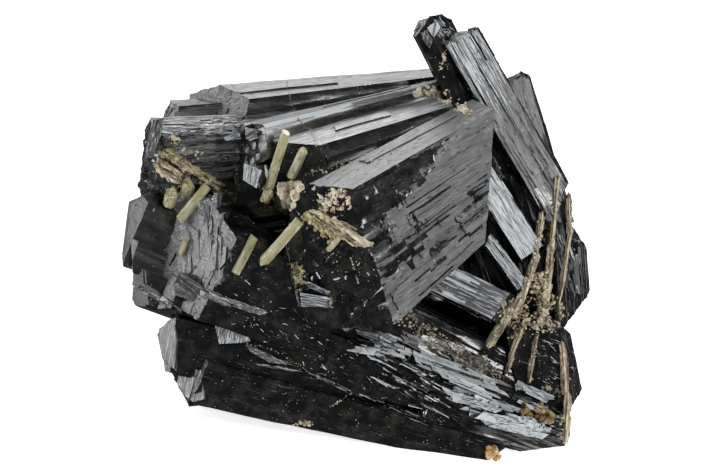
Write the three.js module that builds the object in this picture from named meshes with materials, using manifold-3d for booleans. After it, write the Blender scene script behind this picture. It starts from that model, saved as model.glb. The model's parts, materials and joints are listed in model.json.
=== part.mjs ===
// An ilvaite crystal cluster: two sprays of long black prisms, a big block-shaped crystal
// lying across them, a tall striated crystal behind it, and small quartz prisms, pale crusts
// and brown veins that grew on them. Millimetres, +Z up, standing on its broken flat base.
//
// Every place below is given in the cluster's display plane, the face that it is shown by:
// x runs to the right, y up the face and z out of it. The whole face is then tipped back,
// so that the cluster stands on its base.

import * as THREE from "three";
import { mergeVertices } from "three/addons/utils/BufferGeometryUtils.js";
import Module from "manifold-3d";

const wasm = await Module();
wasm.setup();

// Driving dimensions
const TIP_BACK = 60; // degrees that the display plane is turned about x, from lying flat
const BASE_BELOW = 26.4; // how far the flat base lies under the middle of the display plane
const CONTACT_GAP = 0.3; // between a crystal and the neighbour that it grew against
const LEDGE_ROOT = 1.2; // how deep a ledge is rooted in its crystal
const BLOCK = 260; // side of the rough block that a crystal's faces are cut from

const tipBack = THREE.MathUtils.degToRad(TIP_BACK);
const UP = new THREE.Vector3(0, 1, 0);
const OUT_OF_FACE = new THREE.Vector3(0, 0, 1);
const UPRIGHT = new THREE.Vector3(0, Math.sin(tipBack), Math.cos(tipBack));

// --- solids ---------------------------------------------------------------------------

function toSolid(geometry) {
  const bare = geometry.clone();
  bare.deleteAttribute("normal");
  bare.deleteAttribute("uv");
  const merged = mergeVertices(bare, 1e-4);
  const index = Array.from(merged.index.array);
  const triangles = [];
  for (let i = 0; i < index.length; i += 3) {
    const [a, b, c] = index.slice(i, i + 3);
    if (a !== b && b !== c && c !== a) triangles.push(a, b, c);
  }
  const vertProperties = new Float32Array(merged.attributes.position.array);
  const triVerts = new Uint32Array(triangles);
  return new wasm.Manifold(new wasm.Mesh({ numProp: 3, vertProperties, triVerts }));
}

function toGeometry(solid) {
  const mesh = solid.getMesh();
  const geometry = new THREE.BufferGeometry();
  geometry.setAttribute("position", new THREE.Float32BufferAttribute(mesh.vertProperties, 3));
  geometry.setIndex(Array.from(mesh.triVerts));
  const faceted = geometry.toNonIndexed();
  faceted.computeVertexNormals();
  return faceted;
}

function keepBehind(solid, normal, offset) {
  return solid.trimByPlane([-normal.x, -normal.y, -normal.z], -offset);
}

const roughBlock = toSolid(new THREE.BoxGeometry(BLOCK, BLOCK, BLOCK));

// A long crystal with flat faces. Its reference edge runs from root to tip. The outline lists
// the corners of its cross-section at the tip, as distances [side, front] from that edge.
// All the faces draw in towards the edge, by the fraction taper, on the way to the root.
// A cut [along, side, front, reach] is an end face: along is 1 at the tip, -1 at the root.
function crystal({ root, tip, outline, taper = 0.5, cuts = [[1, 0, 0, 0]] }, grow = 0) {
  const tipPoint = new THREE.Vector3(...tip);
  const rootPoint = new THREE.Vector3(...root);
  const along = tipPoint.clone().sub(rootPoint).normalize();
  const front = OUT_OF_FACE.clone().addScaledVector(along, -OUT_OF_FACE.dot(along)).normalize();
  const side = along.clone().cross(front);
  const corner = (start, [s, f], scale) =>
    start.clone().addScaledVector(side, s * scale).addScaledVector(front, f * scale);
  const middle = corner(tipPoint, centre(outline), 1);

  let solid = roughBlock;
  outline.forEach((point, i) => {
    const next = outline[(i + 1) % outline.length];
    const face = new THREE.Plane().setFromCoplanarPoints(
      corner(tipPoint, point, 1), corner(tipPoint, next, 1), corner(rootPoint, point, 1 - taper));
    if (face.distanceToPoint(middle) > 0) face.negate();
    solid = keepBehind(solid, face.normal, -face.constant + grow);
  });
  const length = tipPoint.distanceTo(rootPoint);
  for (const [w, s, f, reach] of [...cuts, [-1, 0, 0, length]]) {
    const normal = along.clone().multiplyScalar(w).addScaledVector(side, s).addScaledVector(front, f);
    const size = normal.length();
    const offset = (reach + normal.dot(tipPoint)) / size + grow;
    solid = keepBehind(solid, normal.divideScalar(size), offset);
  }
  return solid;
}

function centre(points) {
  const sum = points.reduce(([a, b], [s, f]) => [a + s, b + f], [0, 0]);
  return sum.map((value) => value / points.length);
}

// A low ledge along one of a crystal's faces: the face's number in the outline, the share of
// the face's width where it starts and ends, where it starts and ends along, and its height.
function ledge(parent, [face, shareA, shareB, alongA, alongB, height]) {
  const start = new THREE.Vector2(...parent.outline[face]);
  const end = new THREE.Vector2(...parent.outline[(face + 1) % parent.outline.length]);
  const across = end.clone().sub(start);
  const outward = new THREE.Vector2(-across.y, across.x).normalize();
  const inside = new THREE.Vector2(...centre(parent.outline)).sub(start);
  if (outward.dot(inside) > 0) outward.negate();
  const at = (share, lift) => {
    const point = start.clone().addScaledVector(across, share).addScaledVector(outward, lift);
    return [point.x, point.y];
  };
  const outline = [
    at(shareA, -LEDGE_ROOT), at(shareA, height), at(shareB, height), at(shareB, -LEDGE_ROOT),
  ];
  const cuts = [[1, 0.3, 0.6, alongB], [-1, 0.3, 0.6, -alongA], ...parent.cuts];
  return { ...parent, outline, cuts };
}

function withLedges(parent, ledges) {
  return [parent, ...ledges.map((entry) => ledge(parent, entry))];
}

// Lengthwise ribs over one face, as the stepped growth of the prism leaves them.
function withRibs(parent, face, count, height) {
  const length = new THREE.Vector3(...parent.tip).distanceTo(new THREE.Vector3(...parent.root));
  const ribs = [];
  for (let i = 0; i < count; i++) {
    const shareA = (i + 0.25 + 0.3 * uneven(i)) / count;
    const shareB = (i + 0.7 + 0.25 * uneven(i + 7)) / count;
    const alongB = -length * (0.03 + 0.22 * uneven(i + 3));
    const alongA = -length * (0.62 + 0.36 * uneven(i + 5));
    ribs.push([face, shareA, shareB, alongA, alongB, height * (0.5 + 0.5 * uneven(i + 9))]);
  }
  return withLedges(parent, ribs);
}

// A repeatable uneven number from 0 to 1.
function uneven(index) {
  const wave = Math.sin(index * 12.9898 + 4.1) * 43758.5453;
  return wave - Math.floor(wave);
}

// A small quartz prism: six sides and a point.
function quartz({ from, to, radius, point }, grow = 0) {
  const start = new THREE.Vector3(...from);
  const direction = new THREE.Vector3(...to).sub(start);
  const length = direction.length();
  const wide = radius + grow;
  const profile = [[0, -grow], [wide, -grow], [wide, length - point], [0, length + grow]];
  const geometry = new THREE.LatheGeometry(profile.map(([x, y]) => new THREE.Vector2(x, y)), 6);
  const turn = new THREE.Quaternion().setFromUnitVectors(UP, direction.normalize());
  geometry.applyQuaternion(turn).translate(...start.toArray());
  return toSolid(geometry);
}

// A crust of flattish lumps that overlap along a path, some to one side of it, some to the other.
function crust({ path, lumps, size }, grow = 0) {
  const curve = new THREE.CatmullRomCurve3(path.map((point) => new THREE.Vector3(...point)));
  let all = null;
  for (let i = 0; i < lumps; i++) {
    const share = lumps > 1 ? i / (lumps - 1) : 0.5;
    const place = curve.getPoint(share);
    const heading = curve.getTangent(share);
    const radius = (size / 2) * (0.8 + 0.5 * uneven(i + lumps));
    const lump = new THREE.IcosahedronGeometry(radius, 0);
    lump.rotateX(2 * Math.PI * uneven(i)).rotateY(2 * Math.PI * uneven(i + 1));
    lump.scale(1.25 + grow / radius, 0.9 + grow / radius, 0.7 + grow / radius);
    lump.rotateZ(Math.atan2(heading.y, heading.x));
    const drift = 0.55 * size * (uneven(i + 4) - 0.5);
    lump.translate(place.x - heading.y * drift, place.y + heading.x * drift, place.z);
    const solid = toSolid(lump);
    all = all ? all.add(solid) : solid;
  }
  return all;
}

// --- the crystals ---------------------------------------------------------------------

function mainCrystal() {
  const body = {
    root: [23.9, 21.9, 3], tip: [-0.2, 8, 17], taper: 0.26,
    outline: [[0, 0], [4.4, -6.5], [4.6, -8.8], [-4, -15], [-12.7, -16.5], [-17.5, -11], [-22.4, -2]],
    cuts: [[1, 0.162, 0.594, 0], [-1, -0.72, 0, 31.5]],
  };
  return withLedges(body, [
    [6, 0.5, 0.72, -30, -2.5, 0.5],
    [6, 0.58, 0.64, -15.6, -6.9, 0.9],
    [6, 0.41, 0.45, -22, -6, 0.4],
    [6, 0.27, 0.35, -19, -3.8, 0.5],
    [6, 0.02, 0.2, -14, 2.2, 0.5],
    [6, 0.86, 0.93, -29, -12, 0.25],
    [0, 0.2, 0.5, -30, -9, 0.25],
    [0, 0.62, 0.9, -26, -3, 0.3],
  ]);
}

function tallCrystal() {
  const shaft = {
    root: [33.4, 2.5, -1], tip: [15.1, 34.1, -3], taper: 0,
    outline: [[0, 0], [-1, -4], [1, -9.5], [5, -10], [6.6, -5], [6.1, -2]],
    cuts: [[1, 0.45, 0, 1.4], [1, -1, 0, 0.2], [1, 0.3, 0.9, 1.2], [-1, 0.9, 0, 38]],
  };
  const ridge = {
    root: [35.6, 6, -3], tip: [22, 34.2, -5], taper: 0,
    outline: [[-2, 0.4], [0.4, 0], [0.8, -3.5], [-2, -6]],
    cuts: [[1, 0.8, 0.4, 0.4], [1, -0.4, 0, 0.6]],
  };
  const flank = {
    root: [37.2, 2.4, -4], tip: [30, 26.8, -5], taper: 0,
    outline: [[-6, 1], [0.4, -0.6], [0.9, -4], [-3, -8], [-6, -5]],
    cuts: [[1, 0.7, 0.3, 0.4], [1, -0.35, 0.2, 1.4]],
  };
  return [...withRibs(shaft, 5, 7, 0.45), ridge, ...withRibs(flank, 4, 3, 0.4)];
}

function companionCrystal() {
  const shaft = {
    root: [23.7, 9.2, -4], tip: [11.4, 33.2, -4], taper: 0,
    outline: [[0, 0], [-0.4, -2.6], [2, -5.4], [6.4, -4.8], [6.9, -2], [2.6, 0.6]],
    cuts: [[1, -0.6, 0.3, 1.4], [1, 0.35, 0, 4.6], [1, 1.4, 0, 10.6], [1, 0.1, 1.1, 4]],
  };
  return withRibs(shaft, 4, 3, 0.3);
}

function backBundle() {
  const shaft = {
    root: [35.5, -15, -6], tip: [21, 27, -7], taper: 0,
    outline: [[-9, 0], [-10, -5], [-6, -9], [1, -9], [4.2, -5], [3.4, 0]],
    cuts: [[1, 0.2, 0.2, 0], [-1, 0.9, 0, 42]],
  };
  const leftRib = {
    root: [27, -14, -13], tip: [15, 24.5, -14], taper: 0.1,
    outline: [[-5, 0], [-6.4, -4], [-2, -8], [4, -7], [4, 0]],
    cuts: [[1, -0.3, 0, 0], [1, 0, -0.5, 2]],
  };
  const rightRib = {
    root: [33.6, -17, -12], tip: [26.5, 19, -13], taper: 0.1,
    outline: [[-5, 1], [-5, -5], [1, -7.4], [3.4, -3], [2.2, 1]],
    cuts: [[1, 0.5, 0, 0], [1, 0, -0.6, 2.4]],
  };
  const shortRib = {
    root: [32, -22, -12], tip: [24, 3, -17], taper: 0.1,
    outline: [[-7, 0], [-5, -6], [2, -6], [5, 0]],
    cuts: [[1, 0.3, -0.2, 0], [1, 0, -0.9, 3]],
  };
  return [shaft, leftRib, rightRib, shortRib];
}

function brightLath() {
  const lath = {
    root: [32.4, -1.6, 3], tip: [23.4, 12.3, 2], taper: 0,
    outline: [[0, 0], [0.3, -7], [-4.2, -8], [-4.9, -1], [-4.4, 0.8]],
    cuts: [[1, -1.2, 0.4, 0]],
  };
  return withRibs(lath, 4, 5, 0.35);
}

function slimLath() {
  const lath = {
    root: [29.8, -8, 6], tip: [23.4, 0.9, 4.5], taper: 0,
    outline: [[0, 0], [0.2, -12], [-2.2, -12], [-2.2, 0.2]],
    cuts: [[1, -0.6, 0.3, 0]],
  };
  return withRibs(lath, 3, 2, 0.25);
}

function shortBlock() {
  const block = {
    root: [12, -2.6, 7], tip: [26.2, -9.5, 9], taper: 0,
    outline: [[0, 0], [0.5, -14], [6, -9], [5.4, 0.8]],
    cuts: [[1, 0, 0.9, 0.4], [1, 0, 0, 2]],
  };
  return withRibs(block, 3, 5, 0.4);
}

function rightShoulder() {
  const chunk = {
    root: [37.8, -16, -3], tip: [36.6, 2.6, -3], taper: 0,
    outline: [[-2.2, 0.6], [1.6, 0], [3.6, -3.4], [1, -8], [-4, -8]],
    cuts: [[1, 1.3, 0.3, -1.6], [-1, 1.2, 0, 16.4]],
  };
  return withRibs(chunk, 1, 3, 0.4);
}

function lowerRightCrystal() {
  const block = {
    root: [37, -31, 4], tip: [34, -15.4, 4], taper: 0,
    outline: [[-8, 0.8], [1, 1.2], [3, -2.4], [2.6, -9], [-8, -9]],
    cuts: [[1, 0.3, 0.3, 0], [1, 1.2, 0, 1.6], [-1, 1, 0, 14.6]],
  };
  return withRibs(block, 0, 3, 0.5);
}

function upperSpray() {
  const crest = {
    root: [20, 28.6, -15], tip: [-18.1, 23.8, -6], taper: 0.55,
    outline: [[0, 0], [3.1, -5], [2, -9], [-6, -8], [-6, -1], [-2.1, 0.3]],
    cuts: [[1, 0.3, 0.9, 0]],
  };
  const lowCrest = {
    root: [16, 26.5, -17], tip: [-30.4, 22.6, -8], taper: 0.5,
    outline: [[0, 0], [1.2, -4], [-3, -8], [-8, -6], [-7, 0]],
    cuts: [[1, 0.3, 0.4, 0], [1, 0.4, 0, 1.2]],
  };
  const broad = {
    root: [14, 21.5, -8], tip: [-33.2, 17.4, 0], taper: 0.5,
    outline: [[0, 0], [3.2, -5], [1.6, -11], [-8, -14], [-11, -9], [-9.4, -1], [-5, 1.2]],
    cuts: [[1, -0.12, 0.45, 0], [1, 0.15, 0, 1.4]],
  };
  const bevelled = {
    root: [17, 27.4, -7], tip: [-15.8, 19.2, 3], taper: 0.5,
    outline: [[0, 0], [1, -3.8], [-2, -8], [-7, -7], [-6, 1.2], [-1.3, 0.9]],
    cuts: [[1, 0.2, 0.5, 0]],
  };
  const flatTopped = {
    root: [17, 22.6, -2], tip: [-5.7, 15.6, 8], taper: 0.1,
    outline: [[0, 0], [3.2, -6], [-3, -12], [-9, -8], [-7, -1]],
    cuts: [[1, 0, 1, 0], [1, 0, 0, 5.6]],
  };
  const frontStub = {
    root: [2, 15, -5], tip: [-17.6, 12, 3.5], taper: 0.2,
    outline: [[0, 0], [0.6, -3], [-3.6, -4], [-4.2, -1], [-3.8, 0.6]],
    cuts: [[1, 0.1, 1.2, 0], [1, 0, 0, 1.8]],
  };
  const body = {
    root: [26, 17, -8], tip: [-24, 11, -3], taper: 0.3,
    outline: [[0, 0], [6, -8], [4, -18], [-10, -20], [-14, -10], [-11, -2]],
    cuts: [[1, 0, 0.4, 0], [1, 0, 0, 6]],
  };
  const rearBlade = {
    root: [22, 22, -19], tip: [-25, 17, -15], taper: 0.4,
    outline: [[0, 0], [2, -5], [-3, -9], [-10, -7], [-9, 1]],
    cuts: [[1, 0.3, -0.4, 0], [1, -0.3, 0, 3]],
  };
  const rearFoot = {
    root: [22, 10, -20], tip: [-27, 6, -15], taper: 0.3,
    outline: [[0, 0], [1.5, -6], [-4, -9], [-10, -5], [-10, 2]],
    cuts: [[1, 0.2, -0.5, 0], [1, -0.2, 0, 2]],
  };
  return [
    ...withRibs(crest, 0, 4, 0.4), lowCrest, ...withRibs(broad, 0, 5, 0.45),
    ...withRibs(bevelled, 0, 3, 0.35), ...withRibs(flatTopped, 0, 4, 0.4), frontStub,
    ...withRibs(rearBlade, 2, 4, 0.6), ...withRibs(rearFoot, 2, 4, 0.6), body,
  ];
}

function lowerSpray() {
  const topLeft = {
    root: [28, -22, -6], tip: [-35.4, 5.8, 0], taper: 0.45,
    outline: [[0, 0], [2, -4], [-1, -11], [-10, -12], [-12, -3], [-11, 0.6]],
    cuts: [[1, 0.05, 1.1, 0], [1, -0.3, 0, 3], [1, 0.8, 0, 1.6]],
  };
  const topLeftStep = {
    root: [20, -24, -6], tip: [-37, -0.8, 1.4], taper: 0.45,
    outline: [[0, 0], [-0.2, -3], [-4, -4], [-5.6, -1], [-4.8, 0.3]],
    cuts: [[1, 0, 1, 0], [1, -0.5, 0, 1.5], [1, 0, 0, 1.4]],
  };
  const leftFoot = {
    root: [20, -29, 2], tip: [-35.8, -5.8, 2.4], taper: 0.4,
    outline: [[0, 0], [0, -6], [-3, -9], [-6.4, -4], [-5.4, 0.2]],
    cuts: [[1, -0.5, 0.6, 0], [1, -0.3, 0, 2]],
  };
  const longEnded = {
    root: [30, -24, 3], tip: [-20, -0.4, 9], taper: 0.4,
    outline: [[0, 0], [4, -7], [1, -14], [-14, -14], [-15, 0.5]],
    cuts: [[1, 0, 0.9, 0]],
  };
  const slim = {
    root: [28, -28, 6], tip: [-29.4, -7.6, 6], taper: 0.4,
    outline: [[0, 0], [0.6, -4], [-4, -8], [-6.4, -3], [-5, 0.6]],
    cuts: [[1, 0.2, 0.7, 0], [1, 0, 0, 2.4]],
  };
  const fourth = {
    root: [30, -28.5, 10], tip: [-30.4, -13.9, 6], taper: 0.45,
    outline: [[0, 0], [1.5, -6], [-3, -14], [-9, -12], [-9.4, 0.4]],
    cuts: [[1, -0.1, 0.8, 0], [1, 1, 0, 0.2], [1, -0.45, 0, 4]],
  };
  const bottom = {
    root: [30, -36.5, 14], tip: [-24.9, -21.4, 8], taper: 0.45,
    outline: [[0, 0], [1.5, -6], [-2, -14], [-8, -12], [-7.6, -3], [-5, 0]],
    cuts: [[1, 0.1, 0.6, 0], [1, 1, 0.3, 0.6], [1, -0.9, 0, 7.8], [-1, 0, 0, 50]],
  };
  const fanBlade = {
    root: [36.6, -31.2, 8], tip: [-2, -18.4, 11], taper: 0.3,
    outline: [[0, 0], [2, -6], [-4, -10], [-9, -6], [-7, 1.4], [-1.6, 1]],
    cuts: [[1, 0, 0.5, 0]],
  };
  const endBlade = {
    root: [36.6, -34, 9], tip: [15.5, -26.4, 14], taper: 0.1,
    outline: [[0, 0], [1, -4], [-3, -12], [-6.6, -8], [-5.6, 0]],
    cuts: [[1, 0, 0.4, 0]],
  };
  const upperBlade = {
    root: [36.6, -25, 3], tip: [5, -9.5, 5], taper: 0.2,
    outline: [[0, 0], [1, -6], [-3, -14], [-12, -8], [-11, 2]],
    cuts: [[1, 0, 0.4, 0]],
  };
  const rearLeft = {
    root: [30, -12, -17], tip: [-29, -4, -10], taper: 0.3,
    outline: [[0, 0], [2, -6], [-3, -11], [-12, -9], [-14, 2]],
    cuts: [[1, 0.2, -0.4, 0], [1, -0.4, 0, 3.5]],
  };
  const rearMiddle = {
    root: [34, -15, -22], tip: [-16, -6, -18], taper: 0.3,
    outline: [[0, 0], [2, -5], [-3, -9], [-12, -6], [-13, 3]],
    cuts: [[1, -0.2, -0.4, 0]],
  };
  const body = {
    root: [37, -24, -6], tip: [-24, -10, -2], taper: 0.1,
    outline: [[0, 0], [5, -8], [5, -16], [-4, -20], [-18, -16], [-20, 0]],
    cuts: [[1, 0, 0.4, 0], [1, 0, 0, 4]],
  };
  return [
    topLeft, topLeftStep, leftFoot, ...withRibs(longEnded, 4, 5, 0.35), slim,
    ...withRibs(fourth, 4, 4, 0.45), ...withRibs(bottom, 5, 2, 0.4), ...withRibs(fanBlade, 5, 1, 0.3),
    ...withRibs(fanBlade, 4, 3, 0.5), ...withRibs(endBlade, 4, 4, 0.45),
    ...withRibs(upperBlade, 4, 6, 0.5), ...withRibs(rearLeft, 2, 4, 0.6),
    ...withRibs(rearMiddle, 2, 3, 0.6), body,
  ];
}

// --- what grew on the crystals ----------------------------------------------------------

const QUARTZ_PRISMS = [
  { from: [-15.3, 6, 3.9], to: [-11.6, 17.8, 7.4], radius: 0.75, point: 0.7 },
  { from: [-10.8, 10.2, 5.4], to: [-8.6, 14.7, 8.2], radius: 0.75, point: 0.5 },
  { from: [-20.2, -6.3, 9.6], to: [-17, 0, 8.4], radius: 0.7, point: 0.5 },
  { from: [-16, -5, 9.6], to: [-9.2, 2.7, 11.8], radius: 0.85, point: 0.6 },
  { from: [-29.9, -3.4, 3.2], to: [-28.6, -0.1, 3], radius: 0.5, point: 0.4 },
  { from: [-30, 2.8, 1.6], to: [-25.2, 8.7, 1.4], radius: 0.7, point: 0.5 },
  { from: [-32, 5.4, -1.4], to: [-30.9, 8.6, 0.4], radius: 1.05, point: 0.8 },
  { from: [-28.9, 7, -2.4], to: [-28.3, 10.2, 0.6], radius: 1.15, point: 0.9 },
  { from: [-4.4, -2.3, 13.6], to: [-2.1, 0.2, 15.4], radius: 0.5, point: 0.4 },
];

const CRUSTS = {
  seam_crust: {
    path: [[-33, 14.4, 0.4], [-29.5, 11.8, 0.6], [-26, 9.6, -0.6], [-21, 6.8, -1.6]],
    lumps: 10, size: 2.1,
  },
  cream_crust_centre: {
    path: [[-12.6, 8.8, 4.8], [-11.4, 7.2, 5.6], [-10.4, 6.2, 6.4]], lumps: 5, size: 2.6,
  },
  cream_crust_main: {
    path: [[-5.6, 5.6, 13.2], [-3.4, 6.4, 14.8], [-1.4, 4.6, 16]], lumps: 6, size: 2.2,
  },
  leaf_crust: {
    path: [[-8, 4, 11.6], [-5.4, 2.6, 12.8], [-2, 0.8, 14.8], [2.4, -1.2, 17]], lumps: 9, size: 2.5,
  },
  cream_crust_top: {
    path: [[10.6, 24.4, -3], [12.6, 25.4, -3.4], [14.4, 25, -3.6], [15.6, 23.6, -2.6]], lumps: 8, size: 2.1,
  },
  foot_crust: {
    path: [[17, 22.9, 0.8], [18.6, 22.2, 2.1], [20.6, 21.2, 3.5]], lumps: 5, size: 1.9,
  },
  rubble_crust: {
    path: [[32.2, -9, 0], [31.8, -11, 2], [31.4, -13.4, 4.6], [30.6, -16, 5.6]], lumps: 8, size: 2.8,
  },
  golden_crust: {
    path: [[28.8, -30.6, 12.2], [31.4, -31.2, 11.4], [34, -31.8, 10.6]], lumps: 6, size: 2.1,
  },
  orange_grain: { path: [[23.2, -36.6, 13], [24.8, -36.6, 12.6]], lumps: 3, size: 1.8 },
};

// Brown veins stand between and over the crystals as thin upright plates.
function veinPlate(tip, root, width, depth) {
  const half = width / 2;
  const outline = [[-half, -0.2], [0, 0.1], [half, -0.2], [half, -depth], [-half, -depth]];
  return { tip, root, outline, taper: 0.1, cuts: [[1, 0.3, 0, 0]] };
}

const VEINS = [
  [veinPlate([34.2, 7, -0.8], [33.3, -7, -0.6], 1.1, 6), veinPlate([33.3, -6.4, -0.6], [31.2, -14, 1.6], 1.1, 6)],
  [veinPlate([37, 6.6, -2], [35.8, -11.4, -1.4], 1, 4)],
  [veinPlate([31, -1.8, 4], [27.6, -11.2, 9.2], 1.1, 6), veinPlate([27.8, -10.6, 9.4], [23.2, -18.4, 7], 1.1, 6)],
  [veinPlate([35.4, -17.6, 6.4], [36.4, -26, 6.6], 1.2, 4), veinPlate([36.4, -25.4, 6.6], [35.8, -34.8, 10], 1.2, 4)],
  [veinPlate([30.2, -18, 6.2], [30.5, -24.4, 6.2], 0.8, 3)],
  [veinPlate([27.8, -17.4, 6], [26.6, -21, 6.2], 0.7, 3)],
];

// --- assembly -------------------------------------------------------------------------

const BLACK = { color: 0x17181a, roughness: 0.25 };
const CLEAR = { color: 0xb8b48a, roughness: 0.2 };
const CREAM = { color: 0xd0bd96, roughness: 0.9 };
const BROWN = { color: 0x6e5f46, roughness: 0.9 };
const ORANGE = { color: 0xc08a3a, roughness: 0.7 };

const joined = (specs) => (grow) =>
  specs.map((spec) => crystal(spec, grow)).reduce((all, next) => all.add(next));

// In the order in which they keep their own shape: each one keeps clear of those before it.
const pieces = [
  ["main_crystal", joined(mainCrystal()), BLACK],
  ["short_block_crystal", joined(shortBlock()), BLACK],
  ["slim_lath_crystal", joined(slimLath()), BLACK],
  ["bright_lath_crystal", joined(brightLath()), BLACK],
  ["tall_crystal", joined(tallCrystal()), BLACK],
  ["companion_crystal", joined(companionCrystal()), BLACK],
  ["right_shoulder_crystal", joined(rightShoulder()), BLACK],
  ["lower_right_crystal", joined(lowerRightCrystal()), BLACK],
  ["back_bundle", joined(backBundle()), BLACK],
  ["upper_spray", joined(upperSpray()), BLACK],
  ["lower_spray", joined(lowerSpray()), BLACK],
  ...QUARTZ_PRISMS.map((spec, i) => [`quartz_${i + 1}`, (grow) => quartz(spec, grow), CLEAR]),
  ...VEINS.map((plates, i) => [`brown_vein_${i + 1}`, joined(plates), BROWN]),
  ...Object.entries(CRUSTS).map(([name, spec]) =>
    [name, (grow) => crust(spec, grow), name === "orange_grain" ? ORANGE : CREAM]),
];

function largest(solid) {
  return solid.decompose().reduce((best, next) => (next.volume() > best.volume() ? next : best));
}

const display = new THREE.Group();
display.rotation.x = tipBack;

let taken = null;
for (const [name, build, finish] of pieces) {
  let solid = build(0);
  if (taken) solid = solid.subtract(taken);
  solid = largest(solid.trimByPlane(UPRIGHT.toArray(), -BASE_BELOW));
  const mesh = new THREE.Mesh(toGeometry(solid), new THREE.MeshStandardMaterial(finish));
  mesh.name = name;
  display.add(mesh);
  taken = taken ? taken.add(build(CONTACT_GAP)) : build(CONTACT_GAP);
}

const group = new THREE.Group();
group.add(display);
const box = new THREE.Box3().setFromObject(group, true);
display.position.set(-(box.min.x + box.max.x) / 2, -(box.min.y + box.max.y) / 2, BASE_BELOW);

export default group;
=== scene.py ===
# An ilvaite crystal cluster: black striated prisms in two sprays, a block-shaped crystal across
# them, quartz prisms, pale crusts and brown veins. Sizes below are millimetres on the cluster's
# display plane: x to the right, y up the face, z out of it. Finished pieces are in metres.

import json
import math
import random

import bmesh
import bpy
from mathutils import Matrix, Vector
from mathutils.geometry import convex_hull_2d

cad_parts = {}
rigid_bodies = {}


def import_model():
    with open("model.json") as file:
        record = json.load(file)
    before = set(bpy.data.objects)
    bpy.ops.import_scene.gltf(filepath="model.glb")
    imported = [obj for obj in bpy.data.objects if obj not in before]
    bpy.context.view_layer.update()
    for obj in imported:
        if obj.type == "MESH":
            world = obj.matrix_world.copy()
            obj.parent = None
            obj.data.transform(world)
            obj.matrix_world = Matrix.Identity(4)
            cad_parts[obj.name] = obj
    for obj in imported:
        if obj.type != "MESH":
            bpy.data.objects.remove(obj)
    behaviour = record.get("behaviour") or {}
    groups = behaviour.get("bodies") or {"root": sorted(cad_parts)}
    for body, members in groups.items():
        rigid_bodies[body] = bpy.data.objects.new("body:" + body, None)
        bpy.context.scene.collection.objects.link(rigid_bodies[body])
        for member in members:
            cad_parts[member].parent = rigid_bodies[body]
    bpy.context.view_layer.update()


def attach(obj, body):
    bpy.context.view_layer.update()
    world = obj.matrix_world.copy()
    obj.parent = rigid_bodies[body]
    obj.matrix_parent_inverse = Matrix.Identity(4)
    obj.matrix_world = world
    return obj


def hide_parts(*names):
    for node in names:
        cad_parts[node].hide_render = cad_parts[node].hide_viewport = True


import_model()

# --- driving values -------------------------------------------------------------------------

MM = 0.001
TIP_BACK = math.radians(60)  # the display plane is turned about x from lying flat
MIDDLE = Vector((-0.2907, -0.4672, 26.4))  # the display plane's middle, above the base's middle
VIEW_HEIGHT = math.radians(30)
VIEW_DISTANCE = 1.015  # metres from the display plane's middle
SIGHT = 1000 * VIEW_DISTANCE
LENS = 300  # focal length in millimetres
LIT_POINT = Vector((0, 0, 0.03))  # in metres, as is the distance of the light panels from it
PANEL_DISTANCE = 1.2

BLOCK = 260  # side of the rough block that a crystal is cut from
WELD = 1e-4  # corners nearer than this to a cut lie on it
BASE_WELD = 1e-8  # the same at the base, in metres
RAISED = 0.12  # a cell that stands this far out of its side is a raised step
OWN_SIDE = 0.985  # a face belongs to a side where the two agree as much as this
NEAR_SIDE = 0.9  # the same for a finished face, which is a little uneven
SUNK = 0.5  # a face may lie this far inside its side
END_TILT = 0.25  # a face that looks along the crystal as much as this is an end face
PLATE_GRAIN = 0.32  # between the striations of a plate
LATH_GRAIN, LATH_PACE = 0.3, 0.9  # between the cuts along and across the laths
LATH_THICKNESS = 1.6
LATH_REACH = 0.38  # from a lath's middle to the cut at each end, as a share of its length
DULL_SIDE = 0.1  # the film on the narrow sides of plates and laths
BARE_SIDE, BARE_END, BARE_WALL = 0.03, 0.3, 0.06  # the film where the tables state none
BLUR_ACROSS, BLUR_ALONG = 0.025, 1.6  # how soft the borders of the patches are
PATTERN_GRAIN = 0.6  # the grain that the film's patterns are drawn for
LATH_PATTERN = 0.5  # the size of those patterns on laths
MOST_HITS = 12  # pieces that a line of sight may pass before it meets a carrier
HIT_GAP = 1e-5  # metres from one piece that it passes to where it goes on
PLATE_SEED, BUNDLE_SEED, QUARTZ_SEED, VEIN_SEED, CRUST_SEED = 900, 1100, 1200, 1300, 1500

OUT_OF_FACE = Vector((0, 0, 1))
FACE_TO_ROOM = Matrix.Translation(MIDDLE * MM) @ Matrix.Rotation(TIP_BACK, 4, "X") @ Matrix.Scale(MM, 4)
BACK = Vector((0, -math.cos(VIEW_HEIGHT), math.sin(VIEW_HEIGHT)))
EYE = FACE_TO_ROOM @ Vector((0, 0, 0)) + BACK * VIEW_DISTANCE

# The film's grey: partly a dull etched coat, partly painted sheen.
FILM_AND_SHEEN_GREY = (0.2, 0.204, 0.212)


def row(names, **usual):
    """A maker of table rows: the first values go by the given names, the usual ones may be left out."""
    def fill(*values, **more):
        return {**usual, **dict(zip(names.split(), values)), **more}
    return fill


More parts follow.
